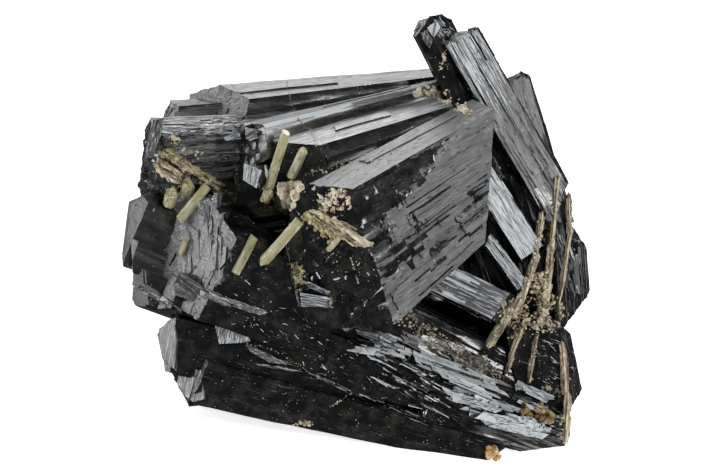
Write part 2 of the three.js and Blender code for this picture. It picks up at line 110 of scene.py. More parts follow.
# --- the crystals ---------------------------------------------------------------------------
# Each crystal runs from its root to its tip. Its outline is the cross-section at the tip, as
# [side, front] from the reference edge, and draws in by the share taper on the way to the root.
# A cut [along, side, front, reach] is an end face.
# film: how grey each side is, from 0 (black and polished) over 1 (a grey etched film) to 2
# (silvery); four values (low, high, start, stop) grow from low to high along the crystal. The grey
# and silvery film is partly a dull etched coat, partly painted sheen: lamp light off the lustrous
# faces set into the colour, side by side.
# grain: between the striations; relief: how uneven the sides are; steps: how many growth steps.
# ledges, shade marks, patches: areas (side, low, high, back, fore, value) of a side, by shares of its
# width and places along it. A ledge is raised by the value. A shade mark has sharp edges and the
# value as its film, a patch has soft ones. Shade marks are dark lines and bands along grooves and
# steps' edges: partly bare black crystal, partly painted shade.
# scars: where short lines are worn through the film, and how many.
# pace: between the cross cuts, where it isn't in keeping with the grain.
# chips, chip: how many raised cells the end has, and how high; cell: how wide they are.
# rough, ragged, slip: how uneven the end, its cross cuts and those of the sides are.
# streak: how streaky the film is; grey: its colour, partly painted sheen; dull: how far the black is from a
# polish;
# glint: how bright the painted glints along the fine lines on the black are.

prism = row(
    "root tip taper outline cuts film grain relief steps", ledges=(), marks=(), patches=(), scars=None,
    chips=6, chip=0.35, rough=0.5, slip=1.6, ragged=0.2, streak=1.0, dull=0.0, glint=0.3, grey=FILM_AND_SHEEN_GREY)
SMOOTH_END = dict(chips=0, rough=0.12, cell=1.6)

CRYSTALS = {
    "main_crystal": {
        "main_crystal": prism(
            (23.9, 21.9, 3), (-0.2, 8, 17), 0.26,
            [(0, 0), (4.4, -6.5), (4.6, -8.8), (-4, -15), (-12.7, -16.5), (-17.5, -11), (-22.4, -2)],
            [(1, 0.162, 0.594, 0), (-1, -0.72, 0, 31.5)],
            {6: 0.93, 0: 0.97, "raised": 1.0, "end": 0.02, "wall": 0.03}, 0.7, 0.03, 5,
            ledges=[(6, 0.5, 0.71, -6.8, -2.4, 0.3), (6, 0.478, 0.588, -16.8, -7.6, 0.6),
                (6, 0.66, 0.79, -25, -7.2, 0.35), (6, 0.15, 0.34, -21, -15, 0.35),
                (6, 0.02, 0.2, -13, 2.2, 0.4), (6, 0.36, 0.42, -19, -12, 0.3),
                (6, 0.24, 0.3, -14, -6, 0.35), (0, 0.62, 0.9, -26, -7, 0.15)],
            # Shade marks: dark lines along the steps and grooves, partly bare black crystal, partly painted
            # shade.
            marks=[(6, 0.588, 0.608, -16.8, -7.2, 0.25), (6, 0.46, 0.608, -7.7, -7.2, 0),
                (6, 0.462, 0.478, -15, -7.4, 0), (6, 0.648, 0.66, -21, -7.3, 0.2),
                (6, 0.41, 0.46, -4.5, -1.1, 0.2), (6, 0.36, 0.41, -8.5, -4, 0.3),
                (6, 0.33, 0.385, -5, -0.7, 0.2), (6, 0.3, 0.34, -7, -4, 0.3), (6, 0.15, 0.17, -16, -13, 0),
                (6, 0.125, 0.15, -18.8, -15.5, 0), (6, 0.42, 0.5, -24, -19, 0.5),
                (6, 0.33, 0.42, -23, -19.5, 0.45), (6, 0.14, 0.155, -6, -2.3, 0),
                (6, 0.12, 0.14, -10, -5.5, 0), (6, 0.22, 0.3, -3.9, -2.6, 0.1),
                (6, 0.03, 0.045, -10, -1.4, 0.1), (6, 0.19, 0.27, -9.1, -8.75, 0),
                (6, 0.43, 0.44, -16, -9, 0.1), (6, 0.39, 0.405, -14, -8, 0.1),
                (6, 0.205, 0.215, -13.5, -9.5, 0), (6, 0.25, 0.262, -20, -15.5, 0.2),
                (6, 0.545, 0.552, -24, -18, 0.1), (6, 0.07, 0.08, -16, -9, 0.1)],
            patches=[(6, 0.88, 1, -21, -15, 0.45), (6, 0.82, 1, -17, -11, 0.2), (6, 0.76, 1, -13, -6, 0.05),
                (6, 0.71, 1, -8, 4, 0), (6, 0.42, 0.73, -2.3, 4, 0), (6, 0.28, 0.42, -0.6, 4, 0.35)],
            scars=dict(side=6, low=0.02, high=0.48, back=-28, fore=-1, count=10),
            ragged=1, pace=1.3, streak=0.5, rough=0.8, chips=50, chip=0.32, cell=0.7, slip=0.8,
            grey=(0.212, 0.216, 0.224)),
    },
    "short_block_crystal": {
        "short_block_crystal": prism(
            (12, -2.6, 7), (26.2, -9.5, 9), 0, [(0, 0), (0.5, -14), (6, -9), (5.4, 0.8)],
            [(1, 0, 0.9, 0.4), (1, 0, 0, 2)], {3: 1.35, "end": 0.1, "raised": 1.7}, 0.4, 0.2, 20),
    },
    "slim_lath_crystal": {
        "slim_lath_crystal": prism(
            (29.8, -8, 6), (23.4, 0.9, 4.5), 0, [(0, 0), (0.2, -12), (-2.2, -12), (-2.2, 0.2)],
            [(1, -0.6, 0.3, 0)], {3: 1.55, "raised": 1.8}, 0.3, 0.15, 7),
    },
    "bright_lath_crystal": {
        "bright_lath_crystal": prism(
            (32.4, -1.6, 3), (23.4, 12.3, 2), 0, [(0, 0), (0.3, -7), (-4.2, -8), (-4.9, -1), (-4.4, 0.8)],
            [(1, -1.2, 0.4, 0)], {4: 1.65, "raised": 1.9}, 0.32, 0.2, 14),
    },
    "tall_crystal": {
        "tall_shaft": prism(
            (33.4, 2.5, -1), (15.1, 34.1, -3), 0,
            [(0, 0), (-1, -4), (1, -9.5), (5, -10), (6.6, -5), (6.1, -2)],
            [(1, 0.45, 0, 1.4), (1, -1, 0, 0.2), (1, 0.3, 0.9, -1.4), (1, 0.95, 0.2, 5.6),
                (-1, 0.9, 0, 38)],
            {5: (0.5, 1.5, -33, -9), "end": 0.96}, 0.38, 0.28, 50, streak=1.6),
        "tall_ridge": prism(
            (35.6, 6, -3), (22, 34.2, -5), 0, [(-2, 0.4), (0.4, 0), (0.8, -3.5), (-2, -6)],
            [(1, 0.8, 0.4, 0.4), (1, -0.4, 0, 0.6)], {0: 1.0, 1: 0.6, "raised": 1.3}, 0.4, 0.4, 14),
        "tall_flank": prism(
            (37.2, 2.4, -4), (30, 26.8, -5), 0, [(-6, 1), (0.4, -0.6), (0.9, -4), (-3, -8), (-6, -5)],
            [(1, 0.7, 0.3, 0.4), (1, -0.35, 0.2, 1.4)], {0: 0.8, "end": 0.8}, 0.5, 0.25, 10),
    },
    "companion_crystal": {
        "companion_crystal": prism(
            (23.7, 9.2, -4), (11.4, 33.2, -4), 0,
            [(0, 0), (-0.4, -2.6), (2, -5.4), (6.4, -4.8), (6.9, -2), (2.6, 0.6)],
            [(1, -0.6, 0.3, 1.4), (1, 0.35, 0, 4.6), (1, 1.4, 0, 10.6), (1, 0.1, 1.1, 4)],
            {4: 0.05, 5: 0.05, "end": 1.35}, 0.5, 0.1, 5),
    },
    "right_shoulder_crystal": {
        "right_shoulder_crystal": prism(
            (37.8, -16, -3), (36.6, 2.6, -3), 0, [(-2.2, 0.6), (1.6, 0), (3.6, -3.4), (1, -8), (-4, -8)],
            [(1, 1.3, 0.3, -1.6), (-1, 1.2, 0, 16.4)], {0: 0.42, 1: 0.45, "raised": 0.8}, 0.35, 0.3, 16,
            streak=1.5, glint=0.45),
    },
    "lower_right_crystal": {
        "lower_right_crystal": prism(
            (37, -31, 4), (34, -15.4, 4), 0, [(-8, 0.8), (1, 1.2), (3, -2.4), (2.6, -9), (-8, -9)],
            [(1, 0.3, 0.3, 0), (1, 1.2, 0, 1.6), (-1, 1, 0, 14.6)], {0: 0.2, 1: 0.3, "raised": 0.4},
            0.4, 0.2, 12, glint=0.45),
    },
    "back_bundle": {
        "back_shaft": prism(
            (35.5, -15, -6), (21, 27, -7), 0, [(-9, 0), (-10, -5), (-6, -9), (1, -9), (4.2, -5), (3.4, 0)],
            [(1, 0.2, 0.2, 0), (-1, 0.9, 0, 42)], {5: 0.3}, 0.7, 0.3, 16),
        "back_left_rib": prism(
            (27, -14, -13), (15, 24.5, -14), 0.1, [(-5, 0), (-6.4, -4), (-2, -8), (4, -7), (4, 0)],
            [(1, -0.3, 0, 0), (1, 0, -0.5, 2)], {}, 0.8, 0.3, 14),
        "back_right_rib": prism(
            (33.6, -17, -12), (26.5, 19, -13), 0.1, [(-5, 1), (-5, -5), (1, -7.4), (3.4, -3), (2.2, 1)],
            [(1, 0.5, 0, 0), (1, 0, -0.6, 2.4)], {}, 0.8, 0.3, 14),
        "back_short_rib": prism(
            (32, -22, -12), (24, 3, -17), 0.1, [(-7, 0), (-5, -6), (2, -6), (5, 0)],
            [(1, 0.3, -0.2, 0), (1, 0, -0.9, 3)], {}, 0.8, 0.3, 10),
    },
    "upper_spray": {
        "crest_blade": prism(
            (20, 28.6, -15), (-18.1, 23.8, -6), 0.55,
            [(0, 0), (3.1, -5), (2, -9), (-6, -8), (-6, -1.2), (-2.1, -0.1)],
            [(1, 0.3, 0.9, 0)], {0: 0.92, 5: 0.12, "end": 1.15, "wall": 0.3}, 0.5, 0.1, 4,
            chips=2, rough=0.3, dull=0.006),
        "low_crest_blade": prism(
            (16, 26.5, -17), (-30.4, 22.6, -8), 0.5, [(0, 0), (1.2, -4), (-3, -8), (-8, -6), (-7, 0)],
            [(1, 0.3, 0.4, 0), (1, 0.4, 0, 1.2)], {0: 0.92, 4: 0.3, "end": 0.75, "wall": 0.5},
            0.6, 0.15, 0, chips=4, chip=0.2, rough=0.4, dull=0.01),
        "broad_blade": prism(
            (14, 21.5, -8), (-33.2, 17.4, 0), 0.5,
            [(0, 0), (3.2, -5), (1.6, -11), (-8, -14), (-11, -9), (-9.4, -1), (-5, 1.2)],
            [(1, -0.12, 0.45, 0), (1, 0.15, 0, 1.4)], {0: 1.15, 6: 0.55, 5: 0.5, "end": 0.35, "wall": 0.3},
            0.45, 0.3, 7, dull=0.006, glint=0.45, ragged=0.6),
        "bevelled_blade": prism(
            (17, 27.4, -7), (-15.8, 19.2, 3), 0.5,
            [(0, 0), (1, -3.8), (-2, -8), (-7, -7), (-6, 0.6), (-1.3, 0.9)],
            [(1, 0.2, 0.5, 0)], {0: 1.0, 5: (1.15, 2, -18, -14), 4: 0.1, "end": 0.12, "wall": 0.3},
            0.5, 0.08, 4, ragged=0.6, glint=0.45, dull=0.005),
        "flat_topped_blade": prism(
            (17, 22.6, -2), (-5.7, 15.6, 8), 0.1, [(0, 0), (3.2, -6), (-3, -12), (-9, -8), (-7, -1)],
            [(1, 0, 1, 0), (1, 0, 0, 5.6)], {0: 1.22, 4: 0.1, "end": 0.2, "wall": 0.3}, 0.6, 0.05, 3,
            grey=(0.38, 0.387, 0.4), streak=0.6, glint=0.45, dull=0.005),
        "front_stub": prism(
            (2, 15, -5), (-17.6, 12, 3.5), 0.2, [(0, 0), (0.6, -3), (-3.6, -4), (-4.2, -1), (-3.8, 0.6)],
            [(1, 0.1, 1.2, 0), (1, 0, 0, 1.8)], {4: 0, "end": 0.08}, 0.5, 0.1, 3, rough=0.8),
        "upper_matrix": prism(
            (26, 17, -8), (-24, 11, -3), 0.3,
            [(0, 0), (6, -8), (4, -18), (-10, -20), (-14, -10), (-11, -2)],
            [(1, 0, 0.4, 0), (1, 0, 0, 6)], {0: 0.1, "end": 0.05}, 0.9, 0.5, 14),
        "rear_blade": prism(
            (22, 22, -19), (-25, 17, -15), 0.4, [(0, 0), (2, -5), (-3, -9), (-10, -7), (-9, 1)],
            [(1, 0.3, -0.4, 0), (1, -0.3, 0, 3)], {2: 0.5}, 0.7, 0.2, 14),
        "rear_foot": prism(
            (22, 10, -20), (-27, 6, -15), 0.3, [(0, 0), (1.5, -6), (-4, -9), (-10, -5), (-10, 2)],
            [(1, 0.2, -0.5, 0), (1, -0.2, 0, 2)], {2: 0.4}, 0.7, 0.2, 14),
    },
    "lower_spray": {
        "top_left_blade": prism(
            (28, -22, -6), (-35.4, 5.8, 0), 0.45,
            [(0, 0), (2, -4), (-1, -11), (-10, -12), (-12, -3), (-11, 0.6)],
            [(1, 0.05, 1.1, 0), (1, -0.3, 0, 3), (1, 0.8, 0, 1.6)], {5: 0.05, "end": 0.88}, 0.6, 0.1, 5,
            dull=0.01, streak=0.5, slip=0.4, **SMOOTH_END),
        "top_left_step": prism(
            (20, -24, -6), (-37, -0.8, 1.4), 0.45, [(0, 0), (-0.2, -3), (-4, -4), (-5.6, -1), (-4.8, 0.3)],
            [(1, 0, 1, 0), (1, -0.5, 0, 1.5), (1, 0, 0, 1.4)], {4: 0.05, "end": 0.88}, 0.6, 0.1, 3,
            dull=0.01, streak=0.5, slip=0.4, **SMOOTH_END),
        "left_foot": prism(
            (20, -29, 2), (-35.8, -5.8, 2.4), 0.4, [(0, 0), (0, -6), (-3, -9), (-6.4, -4), (-5.4, 0.2)],
            [(1, -0.5, 0.6, 0), (1, -0.3, 0, 2)], {4: 0.08, "end": 0.85}, 0.5, 0.15, 6,
            dull=0.01, chips=1, rough=0.15, cell=1.2, slip=0.4),
        "long_ended_blade": prism(
            (30, -24, 3), (-20, -0.4, 9), 0.4, [(0, 0), (4, -7), (1, -14), (-14, -14), (-15, 0.5)],
            [(1, 0, 0.9, 0), (1, 0, 0, 11)], {4: 0, 0: 0.1, "end": 1.1}, 0.7, 0.1, 10,
            rough=0.3, cell=1.4, glint=0.45),
        "slim_blade": prism(
            (28, -28, 6), (-29.4, -7.6, 6), 0.4, [(0, 0), (0.6, -4), (-4, -8), (-6.4, -3), (-5, 0.6)],
            [(1, 0.2, 0.7, 0), (1, 0, 0, 2.4)], {4: 0.05, "end": 0.85}, 0.5, 0.12, 6,
            slip=0.5, chips=0, rough=0.15, dull=0.004),
        "fourth_blade": prism(
            (30, -28.5, 10), (-30.4, -13.9, 6), 0.45,
            [(0, 0), (1.5, -6), (-3, -14), (-9, -12), (-9.4, 0.4)],
            [(1, -0.1, 0.8, 0), (1, 1, 0, 0.2), (1, -0.45, 0, 4)], {4: 0, 0: 0.2, "end": 1.12},
            0.6, 0.12, 10, glint=0.45, **SMOOTH_END),
        "bottom_blade": prism(
            (30, -36.5, 14), (-24.9, -21.4, 8), 0.45,
            [(0, 0), (1.5, -6), (-2, -14), (-8, -12), (-7.6, -3), (-5, 0)],
            [(1, 0.1, 0.6, 0), (1, 1, 0.3, 0.6), (1, -0.9, 0, 7.8), (-1, -0.8, 0, 53.3)],
            {5: 0, 4: 0, 0: 0.1, "end": 1.2}, 0.7, 0.08, 6, glint=0.45, **SMOOTH_END),
        "fan_blade": prism(
            (36.6, -31.2, 8), (-2, -18.4, 11), 0.3,
            [(0, 0), (2, -6), (-4, -10), (-9, -6), (-7, 1.4), (-1.6, 1)],
            [(1, 0, 0.5, 0), (0.3, 0, 1, -2.9)], {5: 0.25, 4: 0.1, "raised": 0.5, "end": 0.2},
            0.35, 0.2, 34),
        "end_blade": prism(
            (36.6, -34, 9), (15.5, -26.4, 14), 0.1, [(0, 0), (1, -4), (-3, -12), (-6.6, -8), (-5.6, 0)],
            [(1, 0, 0.4, 0), (0.3, 0, 1, -2.6)], {4: 0.5, "raised": 1.2, "end": 0.2}, 0.35, 0.2, 20),
        "upper_fan_blade": prism(
            (36.6, -25, 3), (5, -9.5, 5), 0.2, [(0, 0), (1, -6), (-3, -14), (-12, -8), (-11, 2)],
            [(1, 0, 0.4, 0)], {4: 0.35, "raised": 0.8, "end": 0.05}, 0.4, 0.25, 30),
        "rear_left_blade": prism(
            (30, -12, -17), (-29, -4, -10), 0.3, [(0, 0), (2, -6), (-3, -11), (-12, -9), (-14, 2)],
            [(1, 0.2, -0.4, 0), (1, -0.4, 0, 3.5)], {2: 0.5}, 0.7, 0.2, 14),
        "rear_middle_blade": prism(
            (34, -15, -22), (-16, -6, -18), 0.3, [(0, 0), (2, -5), (-3, -9), (-12, -6), (-13, 3)],
            [(1, -0.2, -0.4, 0)], {2: 0.4}, 0.7, 0.2, 14),
        "lower_matrix": prism(
            (37, -24, -6), (-24, -10, -2), 0.1,
            [(0, 0), (5, -8), (5, -16), (-4, -20), (-18, -16), (-20, 0)],
            [(1, 0, 0.4, 0), (1, 0, 0, 4)], {"end": 0.2}, 0.9, 0.5, 14),
    },
}

# Thin plates that stand on the crystals. on: the solid that each one belongs to; depth: how far to
# the front its face lies at the left and the right end; corners: of its outline, as seen on the
# display plane; run: the striations' angle in degrees; thick: how far it reaches in; side: the film
# on its narrow sides.
plate = row("on depth film corners", grain=PLATE_GRAIN, thick=3, side=DULL_SIDE)
PLATES = {
    "end_facet_1": plate(
        "main_crystal", (10.8, 11), 1.45,
        [(-9.3, -9.7), (-7.2, -10.2), (-1.5, -10.9), (0.7, -12), (-1.5, -12.5), (-9.1, -12)]),
    "end_facet_2": plate(
        "main_crystal", (10.4, 11), 1.4,
        [(-8.9, -7.6), (-7.4, -8), (-3.1, -9.9), (-3.6, -10.5), (-7.9, -8.7)]),
    "end_facet_3": plate(
        "lower_spray", (10, 10), 1.5,
        [(-4.5, -13), (-3.4, -12.6), (-1.4, -13.5), (-2.8, -14.4), (-4.5, -14.2)]),
    "end_facet_4": plate(
        "lower_spray", (10.2, 10.2), 1.5,
        [(-2.6, -14.4), (-0.3, -14.5), (0.9, -15), (-1.4, -16.4), (-2.2, -15.7)]),
    "slim_facet": plate(
        "lower_spray", (6.2, 8), 1.12,
        [(-29.8, -6.2), (-28.1, -6.4), (-26.1, -9.2), (-23.7, -11), (-24.6, -11.9), (-27, -11.5),
            (-30.8, -10), (-31, -8)], grain=0.6, run=-35),
    "fourth_facet": plate(
        "lower_spray", (7, 8), 1.5,
        [(-24.1, -14.7), (-21.3, -14.4), (-18.9, -14.5), (-17.9, -18), (-20, -18.4), (-23.2, -18.5)],
        run=80),
    "fourth_end_facet": plate(
        "lower_spray", (3.5, 6.9), 1.15,
        [(-31.6, -14.2), (-33.8, -16.9), (-32.9, -21.1), (-30.4, -23.1), (-30.3, -17.8), (-30.7, -14.5)],
        grain=0.8, run=80, side=0.9),
    "bottom_end_facet": plate(
        "lower_spray", (2.9, 7.9), 1.22,
        [(-30.3, -23.8), (-30.3, -25.4), (-29.2, -27.1), (-27.3, -28.4), (-25.5, -28), (-25.9, -23),
            (-28.2, -23.1)], grain=0.8, run=75, side=0.9),
    "fourth_sliver": plate(
        "lower_spray", (7.6, 8.4), 1.3,
        [(-18.7, -18.5), (-15.8, -20.2), (-10.7, -22.1), (-14.4, -21.8), (-17.9, -19.9)]),
    "pale_left_end": plate(
        "upper_spray", (0.8, 1.4), 1.25,
        [(-34.6, 19.9), (-32.7, 20.4), (-33.2, 17.3), (-34.7, 13.5), (-35.9, 13.2), (-35.6, 16.4)], run=80,
        thick=1.4),
    # Painted highlights: small facets whose bright grey and silvery film stands for lamp light caught on
    # them.
    "white_facet_1": plate(
        "upper_spray", (1.4, 1.8), 1.4, [(-22.7, 17.1), (-19.8, 18), (-19.4, 16.9), (-22, 16.4)], thick=2),
    "white_facet_2": plate(
        "upper_spray", (2, 2.2), 1.4,
        [(-18.6, 18.7), (-16.5, 18.3), (-15.8, 17.3), (-17.9, 16.4), (-18.7, 16.9)], thick=2),
    "silver_facet": plate(
        "upper_spray", (5, 5.4), 1.65, [(-18.9, 12.6), (-15.8, 11.4), (-16.7, 8.3), (-19.1, 9.7)], run=80),
    "small_facet": plate(
        "upper_spray", (5.6, 5.8), 1.4, [(-13.2, 9.4), (-12.2, 9), (-11.9, 7), (-12.9, 7.8)], run=80),
    # A painted highlight: a small facet in full silvery film.
    "top_bright_facet": plate(
        "companion_crystal", (-3, -2.2), 2, [(12.6, 35.9), (14.3, 37), (15.1, 35.9), (13.8, 34.1)], run=80),
    "top_grey_facet": plate(
        "companion_crystal", (-3.4, -2.8), 1.2,
        [(11.4, 35.2), (12.6, 35.5), (13.6, 34), (13.1, 32.2), (11.9, 33.8)], run=80),
}

# Bundles of thin laths, strewn from start to end over what carries them. wide: of the bundle at
# both ends; length, width: of one lath; film: its grey, as above; rise: above the crystal under
# it; stray: how far the laths turn, in degrees; side: the film on their narrow sides; finish: the
# crust that they are made of, where they aren't black.
laths = row("start end wide count length width film rise", stray=2.5, side=DULL_SIDE, on="lower_spray")
BUNDLES = {
    # Laths with a silvery film: painted sheen, lamp light off lustrous laths set into the colour.
    "silver_shards": laths(
        (-0.6, -15.8), (10, -19.5), (1.4, 2.4), 22, (2, 5), (0.4, 1.2), (0.9, 1.9), (0.3, 0.9)),
    "long_silver_laths": laths(
        (-1.6, -18.6), (10.5, -20.8), (1, 1.8), 30, (2.5, 6), (0.4, 1.2), (1.7, 2), (0.3, 0.9)),
    "wide_silver_laths": laths(
        (8.9, -20.5), (26.5, -27.4), (2.6, 3), 46, (4, 13), (0.6, 1.7), (1.65, 2.2), (0.3, 1.1)),
    "grey_laths": laths(
        (6.9, -16.1), (23.2, -23.2), (2.4, 2.4), 40, (3, 10), (0.4, 1.2), (0.3, 1.3), (0.1, 0.6)),
    "low_silver_laths": laths(
        (14.8, -26.7), (27.9, -30.2), (1.4, 2), 26, (2, 7), (0.4, 1.2), (1.4, 1.9), (0.3, 0.9)),
    "end_silver_laths": laths(
        (18.7, -28.9), (34.7, -33.5), (2.4, 3.6), 48, (3, 10), (0.6, 1.7), (1.6, 1.95), (0.3, 0.9)),
    "corner_laths": laths(
        (27.2, -25), (34, -28.3), (0.9, 1.4), 16, (2, 6), (0.4, 1.1), (1.6, 1.95), (0.3, 0.8)),
    "corner_lath_row": laths(
        (28, -28), (34.2, -30.4), (0.6, 0.8), 6, (2, 6), (0.4, 0.8), (1.8, 2), (0.3, 0.7)),
    "dark_laths": laths((3.4, -21.8), (22, -31), (5, 6), 80, (2, 10), (0.2, 0.7), (0, 0.35), (0.05, 0.6)),
    "hair_laths": laths((1, -20.4), (20, -30.4), (5, 6), 34, (2, 7), (0.12, 0.3), (1.2, 2), (0.3, 0.75)),
    "knob_flakes": laths(
        (-28.6, 6.6), (-25.2, -9), (7, 8), 56, (4, 10), (1.6, 3.6), (1.05, 1.35), (0.05, 0.3),
        stray=4, side=0.8),
    "knob_ridges": laths(
        (-24.6, 6), (-22.4, -7), (4, 4), 22, (2.5, 7), (0.5, 1.1), (0.5, 1.05), (0.1, 0.4), stray=4),
    "lobe_tail_laths": laths(
        (-26, -9.6), (-15, -13.4), (1.8, 0.5), 34, (2, 6), (0.15, 0.6), (1.0, 1.6), (0.1, 0.45), stray=3),
    "left_foot_laths": laths(
        (-36.6, -8.4), (-29.8, -13.2), (1.2, 0.7), 26, (2, 6), (0.3, 0.9), (1.0, 1.5), (0.05, 0.3),
        stray=4),
    "rim_laths": laths(
        (-11.4, -0.6), (-9.5, -12), (0.6, 0.5), 18, (1.5, 3.5), (0.15, 0.45), (0.9, 1.4), (0.1, 0.4),
        stray=6, on="main_crystal"),
    "corner_hairs": laths(
        (30, -19), (38.4, -23), (9, 8), 60, (0.5, 2.4), (0.06, 0.18), (1, 2), (0.05, 0.25),
        stray=12, on="lower_right_crystal"),
    "glint_laths": laths(
        (-24, -11), (17, -30), (11, 8), 80, (0.4, 1.8), (0.06, 0.16), (0.9, 1.9), (0.1, 0.3), stray=20),
    "seam_hairs": laths(
        (-18.4, -21.6), (-8.1, -23.6), (0.5, 0.5), 22, (1, 4), (0.07, 0.2), (1, 1.8), (0.1, 0.35)),
    "middle_seam_hairs": laths(
        (-8.1, -23.4), (-0.3, -26.7), (0.5, 0.5), 18, (1, 4), (0.07, 0.18), (1, 1.8), (0.1, 0.35)),
    "low_seam_hairs": laths(
        (-0.3, -26.7), (13.1, -32.2), (0.7, 0.9), 30, (1, 5), (0.07, 0.2), (1, 1.8), (0.1, 0.35)),
    "shoulder_hairs": laths(
        (35, 2), (39, -10), (3, 4), 30, (1, 5), (0.12, 0.35), (0.8, 2), (0.1, 0.4),
        on="right_shoulder_crystal"),
    "ripple_laths": laths(
        (-34, 18.3), (-18.9, 19.3), (2.2, 2.2), 70, (1.5, 6), (0.4, 1.4), (0.95, 1.45), (0.05, 0.3),
        stray=5, on="upper_spray"),
    "seam_fibres": laths(
        (-33.4, 15.2), (-20.6, 7), (1.5, 0.5), 60, (2, 7), (0.2, 0.5), (0, 0), (0.3, 1),
        finish="yellow", on="seam_crust"),
    "lower_seam_fibres": laths(
        (-34.8, 13.2), (-29.6, 10), (1.6, 1.6), 40, (1.5, 5), (0.2, 0.5), (0, 0), (0.2, 0.8),
        finish="tan", on="seam_crust"),
    "leaf_fibres": laths(
        (-7.9, 4.2), (2.7, -1.4), (1.9, 1.2), 90, (2, 7), (0.25, 0.6), (0, 0), (0.4, 1.4),
        finish="tan", on="leaf_crust"),
    "tip_laths": laths(
        (13.4, 37.3), (16.6, 34.6), (3, 3.4), 44, (0.8, 2.4), (0.12, 0.5), (0.95, 1.6), (0.05, 0.2),
        stray=5, on="companion_crystal"),
}

# Quartz prisms, from root to tip. The radius is half their width. A flat one has no point.
QUARTZ = {
    "quartz_1": dict(root=(-15.3, 6, 3.9), tip=(-11.6, 17.8, 7.4), radius=0.8, flat=True),
    "quartz_2": dict(root=(-10.8, 10.2, 5.4), tip=(-8.6, 14.7, 8.2), radius=0.8, flat=True),
    "quartz_3": dict(root=(-20.2, -6.3, 9.6), tip=(-17, 0, 8.4), radius=0.75, flat=True),
    "quartz_4": dict(root=(-9.2, 2.7, 11.8), tip=(-16, -5, 9.6), radius=0.9),
    "quartz_5": dict(root=(-28.6, -0.1, 3), tip=(-29.9, -3.4, 3.2), radius=0.5),
    "quartz_6": dict(root=(-25.2, 8.7, 1.4), tip=(-30, 2.8, 1.6), radius=0.8, flat=True),
    "quartz_7": dict(root=(-32, 5.4, -1.4), tip=(-30.9, 8.6, 0.4), radius=1.1),
    "quartz_8": dict(root=(-28.9, 7, -2.4), tip=(-28.3, 10.2, 0.6), radius=1.2),
    "quartz_9": dict(root=(-4.4, -2.3, 13.6), tip=(-2.1, 0.2, 15.4), radius=0.5),
}

# Brown veins: upright plates, each from root to tip, wide and deep.
VEINS = {
    "brown_vein_1": [
        ((34, -1.8, -0.7), (35.2, 10.5, -2), 0.9, 5), ((33.4, -8.2, -0.5), (34.1, -1.2, -0.7), 1.1, 6),
        ((32.2, -14, 2), (33.6, -7.4, -0.4), 1.2, 6), ((30.9, -19, 6), (32.4, -12.8, 3.2), 0.9, 5)],
    "brown_vein_2": [
        ((37.2, 0.6, -2), (37, 6.6, -2.2), 0.6, 3), ((36, -7.6, -1.8), (37.3, 1.2, -2), 0.8, 4),
        ((35.3, -11.6, -1.3), (36.1, -7, -1.8), 0.7, 4)],
    "brown_vein_3": [
        ((31.2, -3.2, 3.4), (32.4, 4.2, 1.4), 0.8, 5), ((28.7, -10.8, 8.2), (31.4, -2.6, 3.6), 1.1, 6),
        ((26.5, -13.4, 9.2), (29, -9.8, 8.2), 1.3, 6), ((22.9, -19, 7.2), (26.9, -12.4, 9.2), 1.4, 6)],
    "brown_vein_4": [
        ((36.2, -27, 6.6), (35.6, -18.4, 6.4), 0.9, 4),
        ((36, -35, 10), (36.5, -26.4, 6.6), 1.0, 4)],
    "brown_vein_5": [((30, -25, 6.4), (31, -18.2, 6.2), 0.7, 3)],
    "brown_vein_6": [
        ((26.9, -20.4, 6.2), (28.9, -15.4, 6), 0.7, 3),
        ((26.2, -23.4, 6.2), (27, -20, 6.2), 0.6, 3)],
}

